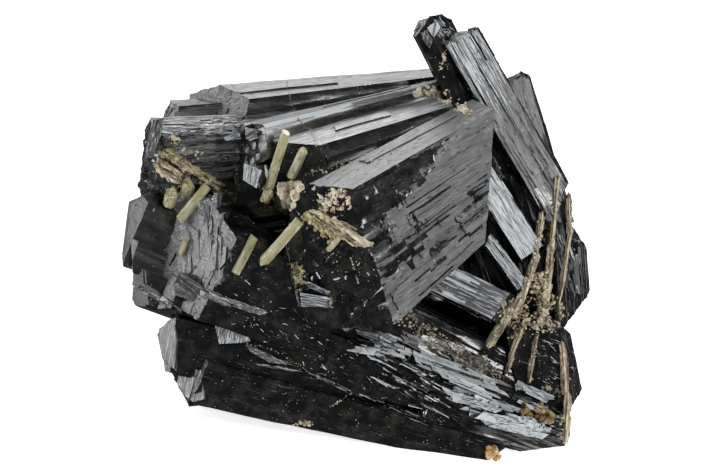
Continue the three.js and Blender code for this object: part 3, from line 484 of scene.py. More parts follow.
# Crusts of small lumps: strewn along a path on the display plane, sunk into what carries them.
# size: of one lump; spread: to both sides of the path; finish: which crust it is; least: how far
# to the front the crust lies at least, where it bridges a gap; depth: where nothing carries it;
# on: the solid that it belongs to, where that isn't its own.
lumps = row("path count size spread finish")
CRUSTS = {
    "seam_crust": lumps(
        [(-33.2, 14.2), (-29.1, 12), (-25.6, 9.4), (-20.1, 6.2)], 80, (0.4, 1.1), 1.0, "tan"),
    "cream_crust_centre": lumps([(-12.6, 5), (-11.2, 6.6), (-10.6, 9)], 230, (0.5, 2.2), 1.5, "cream"),
    "quartz_foot_crust": lumps(
        [(-15.9, 5.4), (-14.6, 6.8), (-14.2, 8)], 110, (0.3, 1.2), 1.1, "yellow", on="cream_crust_centre"),
    "cream_crust_main": lumps([(-6.2, 5.2), (-3.6, 6.1), (-1, 7.4)], 130, (0.16, 1.05), 2.3, "cream"),
    "leaf_crust": lumps(
        [(-8.6, 3.6), (-6.4, 2.2), (-4.4, 0.4), (-2.6, -0.6)], 70, (0.5, 1.3), 0.9, "yellow"),
    "cream_crust_top": lumps(
        [(10.3, 24.2), (13.4, 25.5), (14.8, 24.2), (16.5, 22.8)], 80, (0.4, 1.0), 1.0, "cream"),
    "foot_crust": lumps([(17.4, 22.6), (19.3, 21.8), (20.6, 21.1)], 60, (0.4, 0.9), 0.8, "cream"),
    "rubble_crust": lumps(
        [(31.2, -6.4), (32.4, -10.4), (33, -13), (31, -15.8)], 420, (0.26, 0.95), 1.7, "tan", least=2),
    "golden_crust": lumps([(28.9, -29.7), (31.3, -30.5), (34.2, -31.2)], 120, (0.6, 1.5), 1.0, "golden"),
    "orange_grain": lumps([(23, -36.9), (24.6, -37.6)], 60, (0.6, 1.5), 0.8, "orange", depth=12.6),
    "left_crust": lumps(
        [(-32.5, 7), (-30.8, 7.5), (-28.6, 9.4)], 60, (0.4, 0.9), 0.9, "yellow", on="seam_crust"),
    "upper_left_crust": lumps(
        [(-31.3, 17.6), (-29.6, 14.9), (-26, 13.7)], 34, (0.3, 0.9), 1.0, "cream", on="seam_crust"),
    "rim_crust": lumps(
        [(-10, -4.4), (-9.5, -6.6), (-9.5, -9.2)], 90, (0.3, 0.8), 1.1, "yellow", on="leaf_crust"),
    "end_specks": lumps(
        [(-4.1, -4.9), (-0.7, -4.4), (2.4, -8.3)], 34, (0.12, 0.4), 3.6, "cream", on="leaf_crust"),
    "ridge_crust": lumps(
        [(-7.2, 11.1), (-1.5, 12.6), (5.3, 13.2), (7.6, 14.9)], 60, (0.2, 0.6), 0.7, "cream",
        on="foot_crust"),
    "fan_crust": lumps(
        [(7.2, -13), (10.5, -15.4), (14.1, -17.8), (20, -21.2), (25.6, -24.5)],
        300, (0.2, 0.65), 1.5, "brown", on="rubble_crust"),
    "fan_dust": lumps(
        [(11.4, -18.7), (16.5, -19.9), (23.4, -23.8)], 160, (0.12, 0.35), 2.6, "tan", on="rubble_crust"),
    "block_crust": lumps(
        [(26.5, -10.9), (27.7, -13.7), (29.6, -16.1)], 300, (0.2, 0.7), 2.4, "brown",
        on="rubble_crust", least=5),
    "shoulder_crust": lumps(
        [(34.7, -11.8), (35.4, -14), (33.4, -16.1)], 90, (0.3, 0.8), 1.2, "brown", on="rubble_crust"),
    "vein_foot_crust": lumps(
        [(32, -26.1), (34.7, -26.2), (35.9, -28.1), (35.6, -35)], 60, (0.3, 0.7), 0.6, "brown",
        on="golden_crust"),
    "tower_flakes": lumps(
        [(15.5, 32.1), (15.5, 30.4), (14.8, 28.6)], 30, (0.25, 0.6), 0.4, "cream", on="cream_crust_top"),
    "bottom_crust": lumps(
        [(-10.5, -32.4), (-8.8, -31.9), (-7.1, -32.4)], 50, (0.2, 0.6), 0.5, "tan", on="orange_grain"),
    "bottom_specks": lumps(
        [(-23.9, -25.5), (-11, -28.1), (4.5, -29.8), (16.5, -33.3)], 40, (0.08, 0.22), 5, "cream",
        on="orange_grain"),
    "left_specks": lumps(
        [(-17.9, -5.8), (-17.9, -16.1), (-4.1, -19.5)], 30, (0.08, 0.22), 4, "cream", on="leaf_crust"),
    "vein_lumps": lumps(
        [(34.1, 6.4), (33.4, -1.5), (33.2, -7), (31.1, -13)], 60, (0.3, 0.9), 0.5, "brown",
        on="rubble_crust"),
    "short_vein_lumps": lumps(
        [(32.2, 3), (31.2, -2.8), (28.8, -10), (23.8, -17)], 90, (0.25, 0.8), 0.5, "tan",
        on="rubble_crust"),
    "lower_vein_lumps": lumps(
        [(32, -14), (31, -18.2), (30.1, -24.8)], 50, (0.2, 0.6), 0.5, "tan", on="rubble_crust"),
    "corner_crack": lumps(
        [(-11.6, 26.8), (-10.7, 22.4), (-9.5, 20), (-7.6, 18.2), (-6.4, 15.6)],
        110, (0.12, 0.36), 0.22, "brown", on="foot_crust"),
    "bottom_crack": lumps(
        [(-4.2, -29.4), (-2, -28), (-0.4, -26.8)], 30, (0.15, 0.36), 0.22, "cream", on="orange_grain"),
    "fourth_crack": lumps(
        [(-18.6, -18.4), (-14, -19.4), (-9.6, -22.2), (-6.4, -23.8)], 50, (0.12, 0.3), 0.4, "cream",
        on="orange_grain"),
}


# --- modelling ------------------------------------------------------------------------------

def select_only(piece):
    bpy.ops.object.select_all(action="DESELECT")
    piece.select_set(True)
    bpy.context.view_layer.objects.active = piece


def edit(piece):
    select_only(piece)
    bpy.ops.object.mode_set(mode="EDIT")
    bpy.ops.mesh.select_mode(type="FACE")


def done():
    bpy.ops.object.mode_set(mode="OBJECT")


def begin(name, add, **values):
    """Starts a piece with one plain body, in edit mode and with all of it selected."""
    bpy.ops.object.select_all(action="DESELECT")
    add(**values)
    bpy.ops.object.transform_apply(location=True, rotation=True, scale=True)
    piece = bpy.context.object
    piece.name = name
    piece.data.name = name
    edit(piece)
    bpy.ops.mesh.select_all(action="SELECT")
    return piece


def cut_off(place, outward, weld=WELD):
    """Cuts off what lies beyond a plane from all that is selected, and closes the cut."""
    outward = Vector(outward).normalized()
    bpy.ops.mesh.bisect(plane_co=place, plane_no=outward, use_fill=True, clear_outer=True, threshold=weld)


def trim(place, outward, weld=WELD):
    """Cuts off all that lies beyond a plane."""
    bpy.ops.mesh.select_all(action="SELECT")
    cut_off(place, outward, weld)


def pick(piece, wanted):
    """Selects the faces that fit, and no others."""
    mesh = bmesh.from_edit_mesh(piece.data)
    found = False
    for face in mesh.faces:
        face.select = wanted(face)
        found = found or face.select
    mesh.select_flush_mode()
    bmesh.update_edit_mesh(piece.data)
    return found


def score(place, normal, piece=None, wanted=None):
    """Cuts the faces along a plane: those of the piece that are wanted, or else all."""
    if wanted:
        pick(piece, wanted)
    else:
        bpy.ops.mesh.select_all(action="SELECT")
    bpy.ops.mesh.bisect(plane_co=place, plane_no=Vector(normal).normalized(), threshold=WELD)


def raise_picked(shift):
    bpy.ops.mesh.extrude_region_move(TRANSFORM_OT_translate={"value": shift})


def apply_modifier(piece, kind, **values):
    modifier = piece.modifiers.new(kind.lower(), kind)
    for name, value in values.items():
        setattr(modifier, name, value)
    select_only(piece)
    bpy.ops.object.modifier_apply(modifier=modifier.name)


def cloud(name, depth):
    texture = bpy.data.textures.new(name, "CLOUDS")
    texture.noise_scale = 1
    texture.noise_depth = depth
    return texture


GRAIN_CLOUD = cloud("grain_cloud", 3)


def displace(piece, size, strength, direction="NORMAL", vertex_group="", angle=0):
    """Moves the surface by a cloudy pattern whose lumps have the given size along x, y and z."""
    guide = bpy.data.objects.new("guide", None)
    bpy.context.scene.collection.objects.link(guide)
    guide.scale = size
    guide.rotation_euler.z = angle
    bpy.context.view_layer.update()
    apply_modifier(piece, "DISPLACE", texture=GRAIN_CLOUD, texture_coords="OBJECT",
                   texture_coords_object=guide, strength=strength, mid_level=0.5,
                   direction=direction, vertex_group=vertex_group)
    bpy.data.objects.remove(guide)


def settle(piece, matrix, smooth_angle):
    """Puts a finished piece in its place, trims it level with the base and smooths its gentle edges."""
    piece.matrix_world = matrix
    select_only(piece)
    bpy.ops.object.transform_apply(location=True, rotation=True, scale=True)
    edit(piece)
    trim((0, 0, 0), (0, 0, -1), BASE_WELD)
    done()
    bpy.ops.object.shade_smooth_by_angle(angle=math.radians(smooth_angle))


def film_layer(piece):
    return piece.data.attributes.new("film", "FLOAT", "CORNER")


def flat(point):
    """A table's [side, front] as y and z of the crystal's own frame."""
    return Vector((-point[0], point[1]))


class Side:
    """One long side of a crystal, in the crystal's own frame: x to the tip, z to the front."""

    def __init__(self, spec, index, length):
        outline = [flat(point) for point in spec["outline"]]
        self.index = index
        self.length = length
        self.taper = spec["taper"]
        self.start = outline[index]
        self.across = outline[(index + 1) % len(outline)] - self.start
        self.width = self.across.length
        draw_in = self.start * (1 - self.taper)
        down = Vector((-length, draw_in.x, draw_in.y)) - Vector((0, self.start.x, self.start.y))
        normal = Vector((0, self.across.x, self.across.y)).cross(down).normalized()
        middle = sum(outline, Vector((0, 0))) / len(outline)
        self.place = Vector((0, self.start.x, self.start.y))
        if normal.dot(Vector((0, middle.x, middle.y)) - self.place) > 0:
            normal.negate()
        self.normal = normal

    def share(self, place):
        """How far across the side a place lies, from 0 to 1."""
        scale = 1 + self.taper * place.x / self.length
        return (Vector((place.y, place.z)) - self.start * scale).dot(self.across) / (self.width ** 2 * scale)

    def lift(self, place):
        """How far a place stands out of the side."""
        return (place - self.place).dot(self.normal)

    def holds(self, face):
        """Whether a face belongs to the side."""
        return face.normal.dot(self.normal) > OWN_SIDE

    def score_at(self, share):
        """The plane that cuts this side lengthwise."""
        point = self.start + self.across * share
        near = Vector((0, point.x, point.y))
        far = Vector((-self.length, point.x * (1 - self.taper), point.y * (1 - self.taper)))
        return near, (far - near).cross(self.normal).normalized()


def within(area, side, share, along):
    """Whether a place lies in an area (side, low, high, back, fore, value)."""
    index, low, high, back, fore, _ = area
    return index == side.index and low < share < high and back < along < fore


def own_frame(spec):
    """The crystal's own frame on the display plane: x to the tip, z to the front."""
    tip, root = Vector(spec["tip"]), Vector(spec["root"])
    along = (tip - root).normalized()
    front = (OUT_OF_FACE - along * OUT_OF_FACE.dot(along)).normalized()
    turn = Matrix((along, front.cross(along), front)).transposed()
    return Matrix.Translation(tip) @ turn.to_4x4(), (tip - root).length


def uneven_places(start, stop, gap, draw):
    """Places between start and stop, about a gap apart."""
    places, place = [], start + gap * draw.uniform(0.4, 1)
    while place < stop - 0.3 * gap:
        places.append(place)
        place += gap * draw.uniform(0.55, 1.45)
    return places


def askew(most, draw):
    """A direction that is nearly along x."""
    return Vector((1, draw.uniform(-most, most), draw.uniform(-most, most)))


def cut_block(name, spec, length):
    """Cuts the plain crystal out of a rough block."""
    piece = begin(name, bpy.ops.mesh.primitive_cube_add, size=BLOCK)
    sides = [Side(spec, index, length) for index in range(len(spec["outline"]))]
    for side in sides:
        trim(side.place, side.normal)
    for along, s, f, reach in spec["cuts"]:
        normal = Vector((along, -s, f))
        trim(normal * (reach / normal.length_squared), normal)
    trim((-length, 0, 0), (-1, 0, 0))
    return piece, sides


def striate(piece, sides, spec, length, draw):
    """Scores every side lengthwise in uneven strips and across in uneven steps."""
    for side in sides:
        for share in uneven_places(0, 1, spec["grain"] / side.width, draw):
            score(*side.score_at(share), piece, side.holds)
        for index, low, high, back, fore, _ in (*spec["ledges"], *spec["marks"]):
            if index == side.index:
                for share in (low, high):
                    score(*side.score_at(share), piece, side.holds)
                for place in (back, fore):
                    score((place, 0, 0), askew(0.04, draw), piece, side.holds)
    reach = max(v.co.x for v in bmesh.from_edit_mesh(piece.data).verts)
    for place in uneven_places(-length, reach, spec.get("pace", 3.2 * spec["grain"]), draw):
        score((place, 0, 0), askew(0.3, draw))
    return reach


def raise_run(piece, side, area):
    """Raises the cells of one side that lie in an area."""
    def wanted(face):
        place = face.calc_center_median()
        return side.holds(face) and within(area, side, side.share(place), place.x)
    if pick(piece, wanted):
        raise_picked(side.normal * area[-1])


def grow_steps(piece, sides, spec, length, reach, draw):
    """Long low steps, as the prism's growth leaves them."""
    for area in spec["ledges"]:
        raise_run(piece, sides[area[0]], area)
    weights = [side.width for side in sides]
    for _ in range(spec["steps"]):
        side = draw.choices(sides, weights)[0]
        share = draw.uniform(0.02, 0.9)
        wide = draw.uniform(0.6, 3.2) * spec["grain"] / side.width
        middle = draw.uniform(-length, reach)
        run = length * draw.uniform(0.12, 0.4)
        height = spec["grain"] * draw.uniform(0.2, 0.55)
        high = min(share + wide, 0.97)
        raise_run(piece, side, (side.index, share, high, middle - run, middle + run, height))


def roughen_ends(piece, sides, spec, draw):
    """Cuts the end faces in small cells and raises some of them, as a broken end is."""
    def is_end(face):
        return face.normal.x > END_TILT and not any(side.holds(face) for side in sides)

    def end_corners():
        return sorted(tuple(v.co) for face in bmesh.from_edit_mesh(piece.data).faces
                      if is_end(face) for v in face.verts)

    cell = spec.get("cell", spec["grain"])
    corners = end_corners()
    if not corners:
        return
    for axis in (1, 2):
        low, high = min(place[axis] for place in corners), max(place[axis] for place in corners)
        for place in uneven_places(low, high, cell, draw):
            point, normal = Vector(), Vector((0, draw.uniform(-0.4, 0.4), draw.uniform(-0.4, 0.4)))
            point[axis] = place
            normal[axis] = 1
            score(point, normal, piece, is_end)
    for _ in range(spec["chips"]):
        middle = draw.choice(end_corners())
        wide, high = (cell * draw.uniform(0.8, 2.6) for _ in range(2))

        def near(face):
            place = face.calc_center_median()
            return is_end(face) and abs(place.y - middle[1]) < wide and abs(place.z - middle[2]) < high
        if pick(piece, near):
            raise_picked((draw.uniform(0.2, 1) * spec["chip"], 0, 0))


def group_ends(piece, sides, ragged):
    """Marks the corners of the end faces, and how far the ragged cross cuts reach into them."""
    ends, slide = piece.vertex_groups.new(name="ends"), piece.vertex_groups.new(name="slide")
    slide.add(range(len(piece.data.vertices)), 1, "REPLACE")
    for face in piece.data.polygons:
        if face.normal.x > END_TILT and max(face.normal.dot(side.normal) for side in sides) < NEAR_SIDE:
            ends.add(list(face.vertices), 1, "REPLACE")
            slide.add(list(face.vertices), ragged, "REPLACE")


def graded(value, place):
    """A film value; a tuple (low, high, start, stop) grows from low to high along the crystal."""
    if not isinstance(value, tuple):
        return value
    low, high, start, stop = value
    return low + (high - low) * min(max((place.x - start) / (stop - start), 0), 1)


def worn_lines(where, draw):
    """Areas of short lines along one side, where its film is worn."""
    lines = []
    for _ in range(where["count"]):
        low, back = draw.uniform(where["low"], where["high"]), draw.uniform(where["back"], where["fore"])
        high, fore = low + draw.uniform(0.015, 0.05), back + draw.uniform(1.5, 6)
        lines.append((where["side"], low, high, back, fore, draw.uniform(0, 0.5)))
    return lines


def film_values(name, piece, sides, spec):
    """Stores how grey each face is, from the side that it belongs to, with soft borders."""
    film = spec["film"]
    ends = [Vector((along, -s, f)).normalized() for along, s, f, _ in spec["cuts"]]
    draw = random.Random(len(name))
    scars = worn_lines(spec["scars"], draw) if spec["scars"] else []
    parts, meeting = {}, {}
    for face in sorted(piece.data.polygons, key=lambda one: tuple(one.center)):
        side = max(sides, key=lambda one: face.normal.dot(one.normal))
        lift, place = side.lift(face.center), face.center.x
        if face.normal.dot(side.normal) > NEAR_SIDE and lift > -SUNK:
            part, value = side.index, film.get(side.index, BARE_SIDE)
            if lift > RAISED:
                part, value = ("raised", side.index), film.get("raised", value)
            share = side.share(face.center)
            blurred = share + draw.uniform(-BLUR_ACROSS, BLUR_ACROSS)
            moved = place + draw.uniform(-BLUR_ALONG, BLUR_ALONG)
            for area in spec["patches"]:
                if within(area, side, blurred, moved):
                    value = area[-1]
            for area in scars:
                if within(area, side, blurred, place):
                    value = min(area[-1], graded(value, face.center))
            # Shade marks: sharp dark lines, partly painted shade at grooves and step edges.
            for area in spec["marks"]:
                if within(area, side, share, place):
                    part, value = "shade_mark", area[-1]
        elif face.normal.x > END_TILT:
            facing = max(range(len(ends)), key=lambda one: face.normal.dot(ends[one]))
            part, value = ("end", facing), film.get("end", BARE_END)
        else:
            part, value = "wall", film.get("wall", BARE_WALL)
        parts[face.index] = part
        for vertex in face.vertices:
            meeting.setdefault((vertex, part), []).append(graded(value, piece.data.vertices[vertex].co))
    layer = film_layer(piece)
    for face in piece.data.polygons:
        for corner, vertex in zip(face.loop_indices, face.vertices):
            near = meeting[vertex, parts[face.index]]
            layer.data[corner].value = sum(near) / len(near)


def make_crystal(name, spec, seed):
    """A crystal with striations, growth steps and a rough end."""
    draw = random.Random(seed)
    placing, length = own_frame(spec)
    piece, sides = cut_block(name, spec, length)
    reach = striate(piece, sides, spec, length, draw)
    grow_steps(piece, sides, spec, length, reach, draw)
    roughen_ends(piece, sides, spec, draw)
    done()
    group_ends(piece, sides, spec["ragged"])
    grain, relief, rough = spec["grain"], spec["relief"], spec["rough"]
    # The relief of the striations, then broad waves.
    displace(piece, (12, 1.6 * grain, 1.6 * grain), 2 * relief)
    displace(piece, (20, 5, 5), 1.6 * relief)
    # Ragged cross cuts, then striations that wander to the side and to the front.
    displace(piece, (1.2, 1, 1), spec["slip"] * grain, "X", "slide")
    displace(piece, (14, 2, 2), 0.7 * grain, "Y")
    displace(piece, (14, 2, 2.2), 0.7 * grain, "Z")
    # The rough end, coarse and fine.
    displace(piece, (1.1, 1.1, 1.1), rough, vertex_group="ends")
    displace(piece, (0.45, 0.45, 0.45), 0.4 * rough, vertex_group="ends")
    film_values(name, piece, sides, spec)
    settle(piece, FACE_TO_ROOM @ placing, 16)
    return piece, (FACE_TO_ROOM @ placing).to_quaternion()


def make_plate(name, spec, seed):
    """A plate cut to the given outline, its front following the crystal that it grew on."""
    draw = random.Random(seed)
    left, right = spec["depth"]
    depth = (left + right) / 2
    low_x, high_x = min(x for x, y in spec["corners"]), max(x for x, y in spec["corners"])
    seen = [Vector(corner) * (1 - depth / SIGHT) for corner in spec["corners"]]
    corners = [seen[index].to_3d() for index in convex_hull_2d(seen)]
    middle = sum(corners, Vector()) / len(corners)
    top = Vector((middle.x, middle.y, depth))
    piece = begin(name, bpy.ops.mesh.primitive_cube_add, size=30, location=top)
    edges = []
    for index, corner in enumerate(corners):
        edge = corners[(index + 1) % len(corners)] - corner
        outward = Vector((-edge.y, edge.x, 0))
        if outward.dot(middle - corner) > 0:
            outward.negate()
        trim(corner, outward)
        edges.append(edge)
    lean = Vector((-(right - left) / (high_x - low_x), 0.15, 1)).normalized()
    trim(top, lean)
    trim((0, 0, min(left, right) - spec["thick"]), (0, 0, -1))
    longest = max(edges, key=lambda edge: edge.length)
    angle = math.radians(spec["run"]) if "run" in spec else math.atan2(longest.y, longest.x)
    if longest.x < 0 and "run" not in spec:
        angle += math.pi
    along = Vector((math.cos(angle), math.sin(angle), 0))
    across = Vector((-math.sin(angle), math.cos(angle), 0))
    grain = spec["grain"]
    for direction, gap in ((across, grain), (along, 3 * grain)):
        reach = [direction.dot(corner) for corner in corners]
        for place in uneven_places(min(reach), max(reach), gap, draw):
            slant = direction + along * draw.uniform(-0.03, 0.03) + across * draw.uniform(-0.3, 0.3)
            score(direction * place, slant if direction is along else direction)
    raise_strips(piece, lean, across, grain, draw)
    done()
    for size, strength, way in (
            ((6, grain, grain), 0.22, "Z"), ((1.5, 0.8, 0.8), 0.5 * grain, "X"),
            ((0.9, 0.9, 0.9), 0.9 * grain, "Y"), ((1, 1, 1), 0.12, "NORMAL")):
        displace(piece, size, strength, way, angle=angle)
    layer = film_layer(piece)
    for face in piece.data.polygons:
        value = spec["film"] if face.normal.z > 0.6 else spec["side"]
        for corner in face.loop_indices:
            layer.data[corner].value = value
    settle(piece, FACE_TO_ROOM, 24)
    return piece, (FACE_TO_ROOM @ Matrix.Rotation(angle, 4, "Z")).to_quaternion()


def raise_strips(piece, lean, across, grain, draw):
    """Raises some strips of a plate's front a little over the others."""
    def is_front(face):
        return face.normal.dot(lean) > 0.98

    for _ in range(5):
        places = sorted(face.calc_center_median().dot(across)
                        for face in bmesh.from_edit_mesh(piece.data).faces if is_front(face))
        if not places:
            return
        start = draw.choice(places)

        def strip(face):
            return is_front(face) and 0 <= face.calc_center_median().dot(across) - start < 2 * grain
        if pick(piece, strip):
            raise_picked(lean * draw.uniform(0.08, 0.25))


def surface_at(x, y, carriers):
    """Where the line of sight through a place on the display plane meets the first carrier."""
    start = EYE
    aim = (FACE_TO_ROOM @ Vector((x, y, 0)) - start).normalized()
    graph = bpy.context.evaluated_depsgraph_get()
    for _ in range(MOST_HITS):
        hit, place, normal, _, piece, _ = bpy.context.scene.ray_cast(graph, start, aim)
        if not hit:
            return None, None
        if piece.name in carriers:
            return FACE_TO_ROOM.inverted() @ place, (FACE_TO_ROOM.to_3x3().inverted() @ normal).normalized()
        start = place + aim * HIT_GAP
    return None, None


def make_bundle(name, spec, carriers, seed):
    """Laths strewn over the crystals, each cut aslant at both ends and lying as its ground does."""
    draw = random.Random(seed)
    start, heading = Vector(spec["start"]), Vector(spec["end"]) - Vector(spec["start"])
    sideways = Vector((-heading.y, heading.x)).normalized()
    angle = math.atan2(heading.y, heading.x)
    piece = None
    for _ in range(spec["count"]):
        length, width = draw.uniform(*spec["length"]), draw.uniform(*spec["width"])
        reach = min(LATH_REACH * length / heading.length, 0.5)
        share = draw.uniform(reach, 1 - reach)
        wide = spec["wide"][0] + (spec["wide"][1] - spec["wide"][0]) * share
        place = start + heading * share + sideways * wide * draw.uniform(-0.5, 0.5)
        ground, normal = surface_at(place.x, place.y, carriers)
        if ground is None or normal.z < 0.3:
            continue
        turn = angle + math.radians(draw.gauss(0, spec["stray"]))
        along = Vector((math.cos(turn), math.sin(turn), 0))
        along = (along - normal * along.dot(normal)).normalized()
        across = normal.cross(along)
        rise = draw.uniform(*spec["rise"])
        box = dict(size=1, location=ground + normal * (rise - LATH_THICKNESS / 2),
                   scale=(length, width, LATH_THICKNESS),
                   rotation=Matrix((along, across, normal)).transposed().to_euler())
        if piece is None:
            piece = begin(name, bpy.ops.mesh.primitive_cube_add, **box)
        else:
            bpy.ops.mesh.primitive_cube_add(**box)
        for end in (-1, 1):
            cut = along * end + across * draw.uniform(-1.6, 1.6) + normal * draw.uniform(0, 0.8)
            cut_off(ground + along * end * LATH_REACH * length, cut)
            bpy.ops.mesh.select_linked()
        roof = normal + across * draw.uniform(-0.4, 0.4) + along * draw.uniform(-0.06, 0.06)
        cut_off(ground + normal * (rise - 0.08), roof)
        bpy.ops.mesh.select_linked()
        mesh = bmesh.from_edit_mesh(piece.data)
        layer = mesh.faces.layers.float.get("film") or mesh.faces.layers.float.new("film")
        film = draw.uniform(*spec["film"])
        for face in mesh.faces:
            if face.select:
                face[layer] = film if face.normal.dot(normal) > 0.5 else spec["side"]
        bmesh.update_edit_mesh(piece.data)
    for direction, gap in ((sideways.to_3d(), LATH_GRAIN), (heading.normalized().to_3d(), LATH_PACE)):
        reach = [direction.dot(v.co) for v in bmesh.from_edit_mesh(piece.data).verts]
        for place in uneven_places(min(reach), max(reach), gap, draw):
            score(direction * place, direction)
    done()
    for size, strength, way in (
            ((5, 0.3, 0.3), 0.16, "Z"), ((1.5, 0.8, 0.8), 0.4, "X"), ((0.9, 0.9, 0.9), 0.3, "Y")):
        displace(piece, size, strength, way, angle=angle)
    settle(piece, FACE_TO_ROOM, 24)
    return piece, (FACE_TO_ROOM @ Matrix.Rotation(angle, 4, "Z")).to_quaternion()


def make_quartz(name, spec, seed):
    """A six-sided prism with a six-sided point, or with a flat end."""
    draw = random.Random(seed)
    placing, length = own_frame(spec)
    radius = spec["radius"]
    turns = [math.radians(60 * index + draw.uniform(-9, 9)) for index in range(6)]
    if spec.get("flat"):
        cuts = [(1, 0.2, 0.25, 0)]
    else:
        cuts = [(draw.uniform(0.5, 0.9), math.cos(turn + 0.52), math.sin(turn + 0.52), 0) for turn in turns]
    outline = [(radius * math.cos(turn), radius * math.sin(turn)) for turn in turns]
    piece, _ = cut_block(name, dict(outline=outline, taper=0, cuts=cuts), length)
    for place in uneven_places(-length, 0, 0.35, draw):
        score((place, 0, 0), askew(0.1, draw))
    done()
    displace(piece, (2.5, 1, 1), 0.14)
    displace(piece, (0.5, 2, 2), 0.06)
    settle(piece, FACE_TO_ROOM @ placing, 20)
    return piece, (FACE_TO_ROOM @ placing).to_quaternion()


def make_vein(name, plates, seed):
    """Upright plates, ragged at the edges, one carrying on from the other."""
    pieces = []
    for number, (root, tip, wide, deep) in enumerate(plates):
        half = wide / 2
        length = (Vector(tip) - Vector(root)).length
        spec = prism(
            root, tip, 0.1, [(-half, -0.2), (0, 0.1), (half, -0.2), (half, -deep), (-half, -deep)],
            [(1, 1.6, 0, 0.2), (1, -1.2, 0, 0.2), (-1, 0.9, 0, length)], {}, 0.3, 0.55, 16,
            ragged=1, pace=0.6)
        piece, turn = make_crystal(f"{name}_plate_{number + 1}", spec, seed + number)
        pieces.append(piece)
    return pieces, turn


def along_path(path, share):
    """A point at a share of the way along a path, and the way across it."""
    points = [Vector(point) for point in path]
    runs = [(second - first).length for first, second in zip(points, points[1:])]
    rest = share * sum(runs)
    for first, second, run in zip(points, points[1:], runs):
        if rest <= run or second is points[-1]:
            heading = (second - first).normalized()
            return first + heading * rest, Vector((-heading.y, heading.x))
        rest -= run


def make_crust(name, spec, carriers, seed):
    """Lumps strewn along a path, joined and roughened."""
    draw = random.Random(seed)
    least, most = spec["size"]
    piece = None
    for _ in range(spec["count"]):
        place, across = along_path(spec["path"], draw.random())
        place += across * draw.gauss(0, 0.5) * spec["spread"]
        ground, _ = surface_at(place.x, place.y, carriers)
        if ground is None and "depth" in spec:
            ground = Vector((place.x, place.y, spec["depth"] + draw.uniform(-0.6, 0.6)))
        if ground is None:
            continue
        if ground.z < spec.get("least", ground.z):
            depth = spec["least"] + draw.uniform(-1, 1)
            ground = Vector((place.x * (1 - depth / SIGHT), place.y * (1 - depth / SIGHT), depth))
        size = least + (most - least) * draw.random() ** 1.6
        if piece is None:
            piece = begin(name, bpy.ops.mesh.primitive_ico_sphere_add, subdivisions=2, radius=0.5 * size,
                          location=ground)
            continue
        bpy.ops.mesh.primitive_ico_sphere_add(
            subdivisions=2 if size > 0.35 else 1, radius=0.5 * size, location=ground,
            rotation=[draw.uniform(0, 6) for _ in range(3)],
            scale=(1, draw.uniform(0.6, 1), draw.uniform(0.5, 1)))
    done()
    for size, strength in ((0.9, 0.3 * most), (0.3, 0.25)):
        displace(piece, (size, size, size), strength, angle=0.7)
    settle(piece, FACE_TO_ROOM, 45)
    return piece


# --- finishes -------------------------------------------------------------------------------

class Nodes:
    """A node tree that is filled in line by line."""

    def __init__(self, tree):
        self.tree = tree

    def add(self, kind, values=None, **settings):
        node = self.tree.nodes.new(kind)
        for name, value in settings.items():
            setattr(node, name, value)
        for name, value in (values or {}).items():
            if isinstance(value, bpy.types.NodeSocket):
                self.tree.links.new(value, node.inputs[name])
            else:
                node.inputs[name].default_value = value
        return node

    def math(self, operation, first, second, clamp=False):
        node = self.add("ShaderNodeMath", {0: first, 1: second}, operation=operation, use_clamp=clamp)
        return node.outputs[0]

    def times(self, first, second):
        return self.math("MULTIPLY", first, second)

    def plus(self, first, second):
        return self.math("ADD", first, second)

    def minus(self, first, second, clamp=False):
        return self.math("SUBTRACT", first, second, clamp)

    def range(self, value, low, high, to_low=0.0, to_high=1.0):
        ends = {"From Min": low, "From Max": high, "To Min": to_low, "To Max": to_high}
        return self.add("ShaderNodeMapRange", {"Value": value, **ends}).outputs[0]

    def mix(self, share, first, second):
        """Two colours, each a socket or three values, mixed by a share."""
        colours = {slot: colour if isinstance(colour, bpy.types.NodeSocket) else (*colour, 1)
                   for slot, colour in ((6, first), (7, second))}
        return self.add("ShaderNodeMix", {0: share, **colours}, data_type="RGBA").outputs[2]

    def noise(self, vector, scale, detail, roughness):
        return self.add("ShaderNodeTexNoise", {
            "Vector": vector, "Scale": scale, "Detail": detail, "Roughness": roughness}).outputs["Fac"]

    def drawn_out(self, vector, length, width):
        """Stretches a vector along the crystal: length and width are the sizes of one feature."""
        along, across = (self.math("DIVIDE", 1.0, size) for size in (length, width))
        scale = self.add("ShaderNodeCombineXYZ", {"X": along, "Y": across, "Z": across}).outputs[0]
        return self.add("ShaderNodeVectorMath", {0: vector, 1: scale}, operation="MULTIPLY").outputs[0]

    def streaks(self, vector, length, width, detail, roughness):
        """Noise that is drawn out along the crystal."""
        return self.noise(self.drawn_out(vector, length, width), 1.0, detail, roughness)

    def use(self, tree, **values):
        return self.add("ShaderNodeGroup", values, node_tree=tree).outputs

    def own_place(self, turn):
        """The place on the piece, turned to the crystal's own frame where there is one."""
        place = self.add("ShaderNodeTexCoord").outputs["Object"]
        if turn is None:
            return place
        values = {"Vector": place, "Rotation": turn.to_euler()}
        return self.add("ShaderNodeMapping", values, vector_type="TEXTURE").outputs[0]


def group(name, values, outputs, fill):
    """A node group with a vector and the given values going in and plain values coming out."""
    tree = bpy.data.node_groups.new(name, "ShaderNodeTree")
    tree.interface.new_socket("Vector", in_out="INPUT", socket_type="NodeSocketVector")
    for label, value in values.items():
        tree.interface.new_socket(label, in_out="INPUT", socket_type="NodeSocketFloat").default_value = value
    for label in outputs:
        tree.interface.new_socket(label, in_out="OUTPUT", socket_type="NodeSocketFloat")
    nodes = Nodes(tree)
    entry = nodes.add("NodeGroupInput")
    exit_node = nodes.add("NodeGroupOutput")
    for label, socket in fill(nodes, entry.outputs).items():
        tree.links.new(socket, exit_node.inputs[label])
    return tree


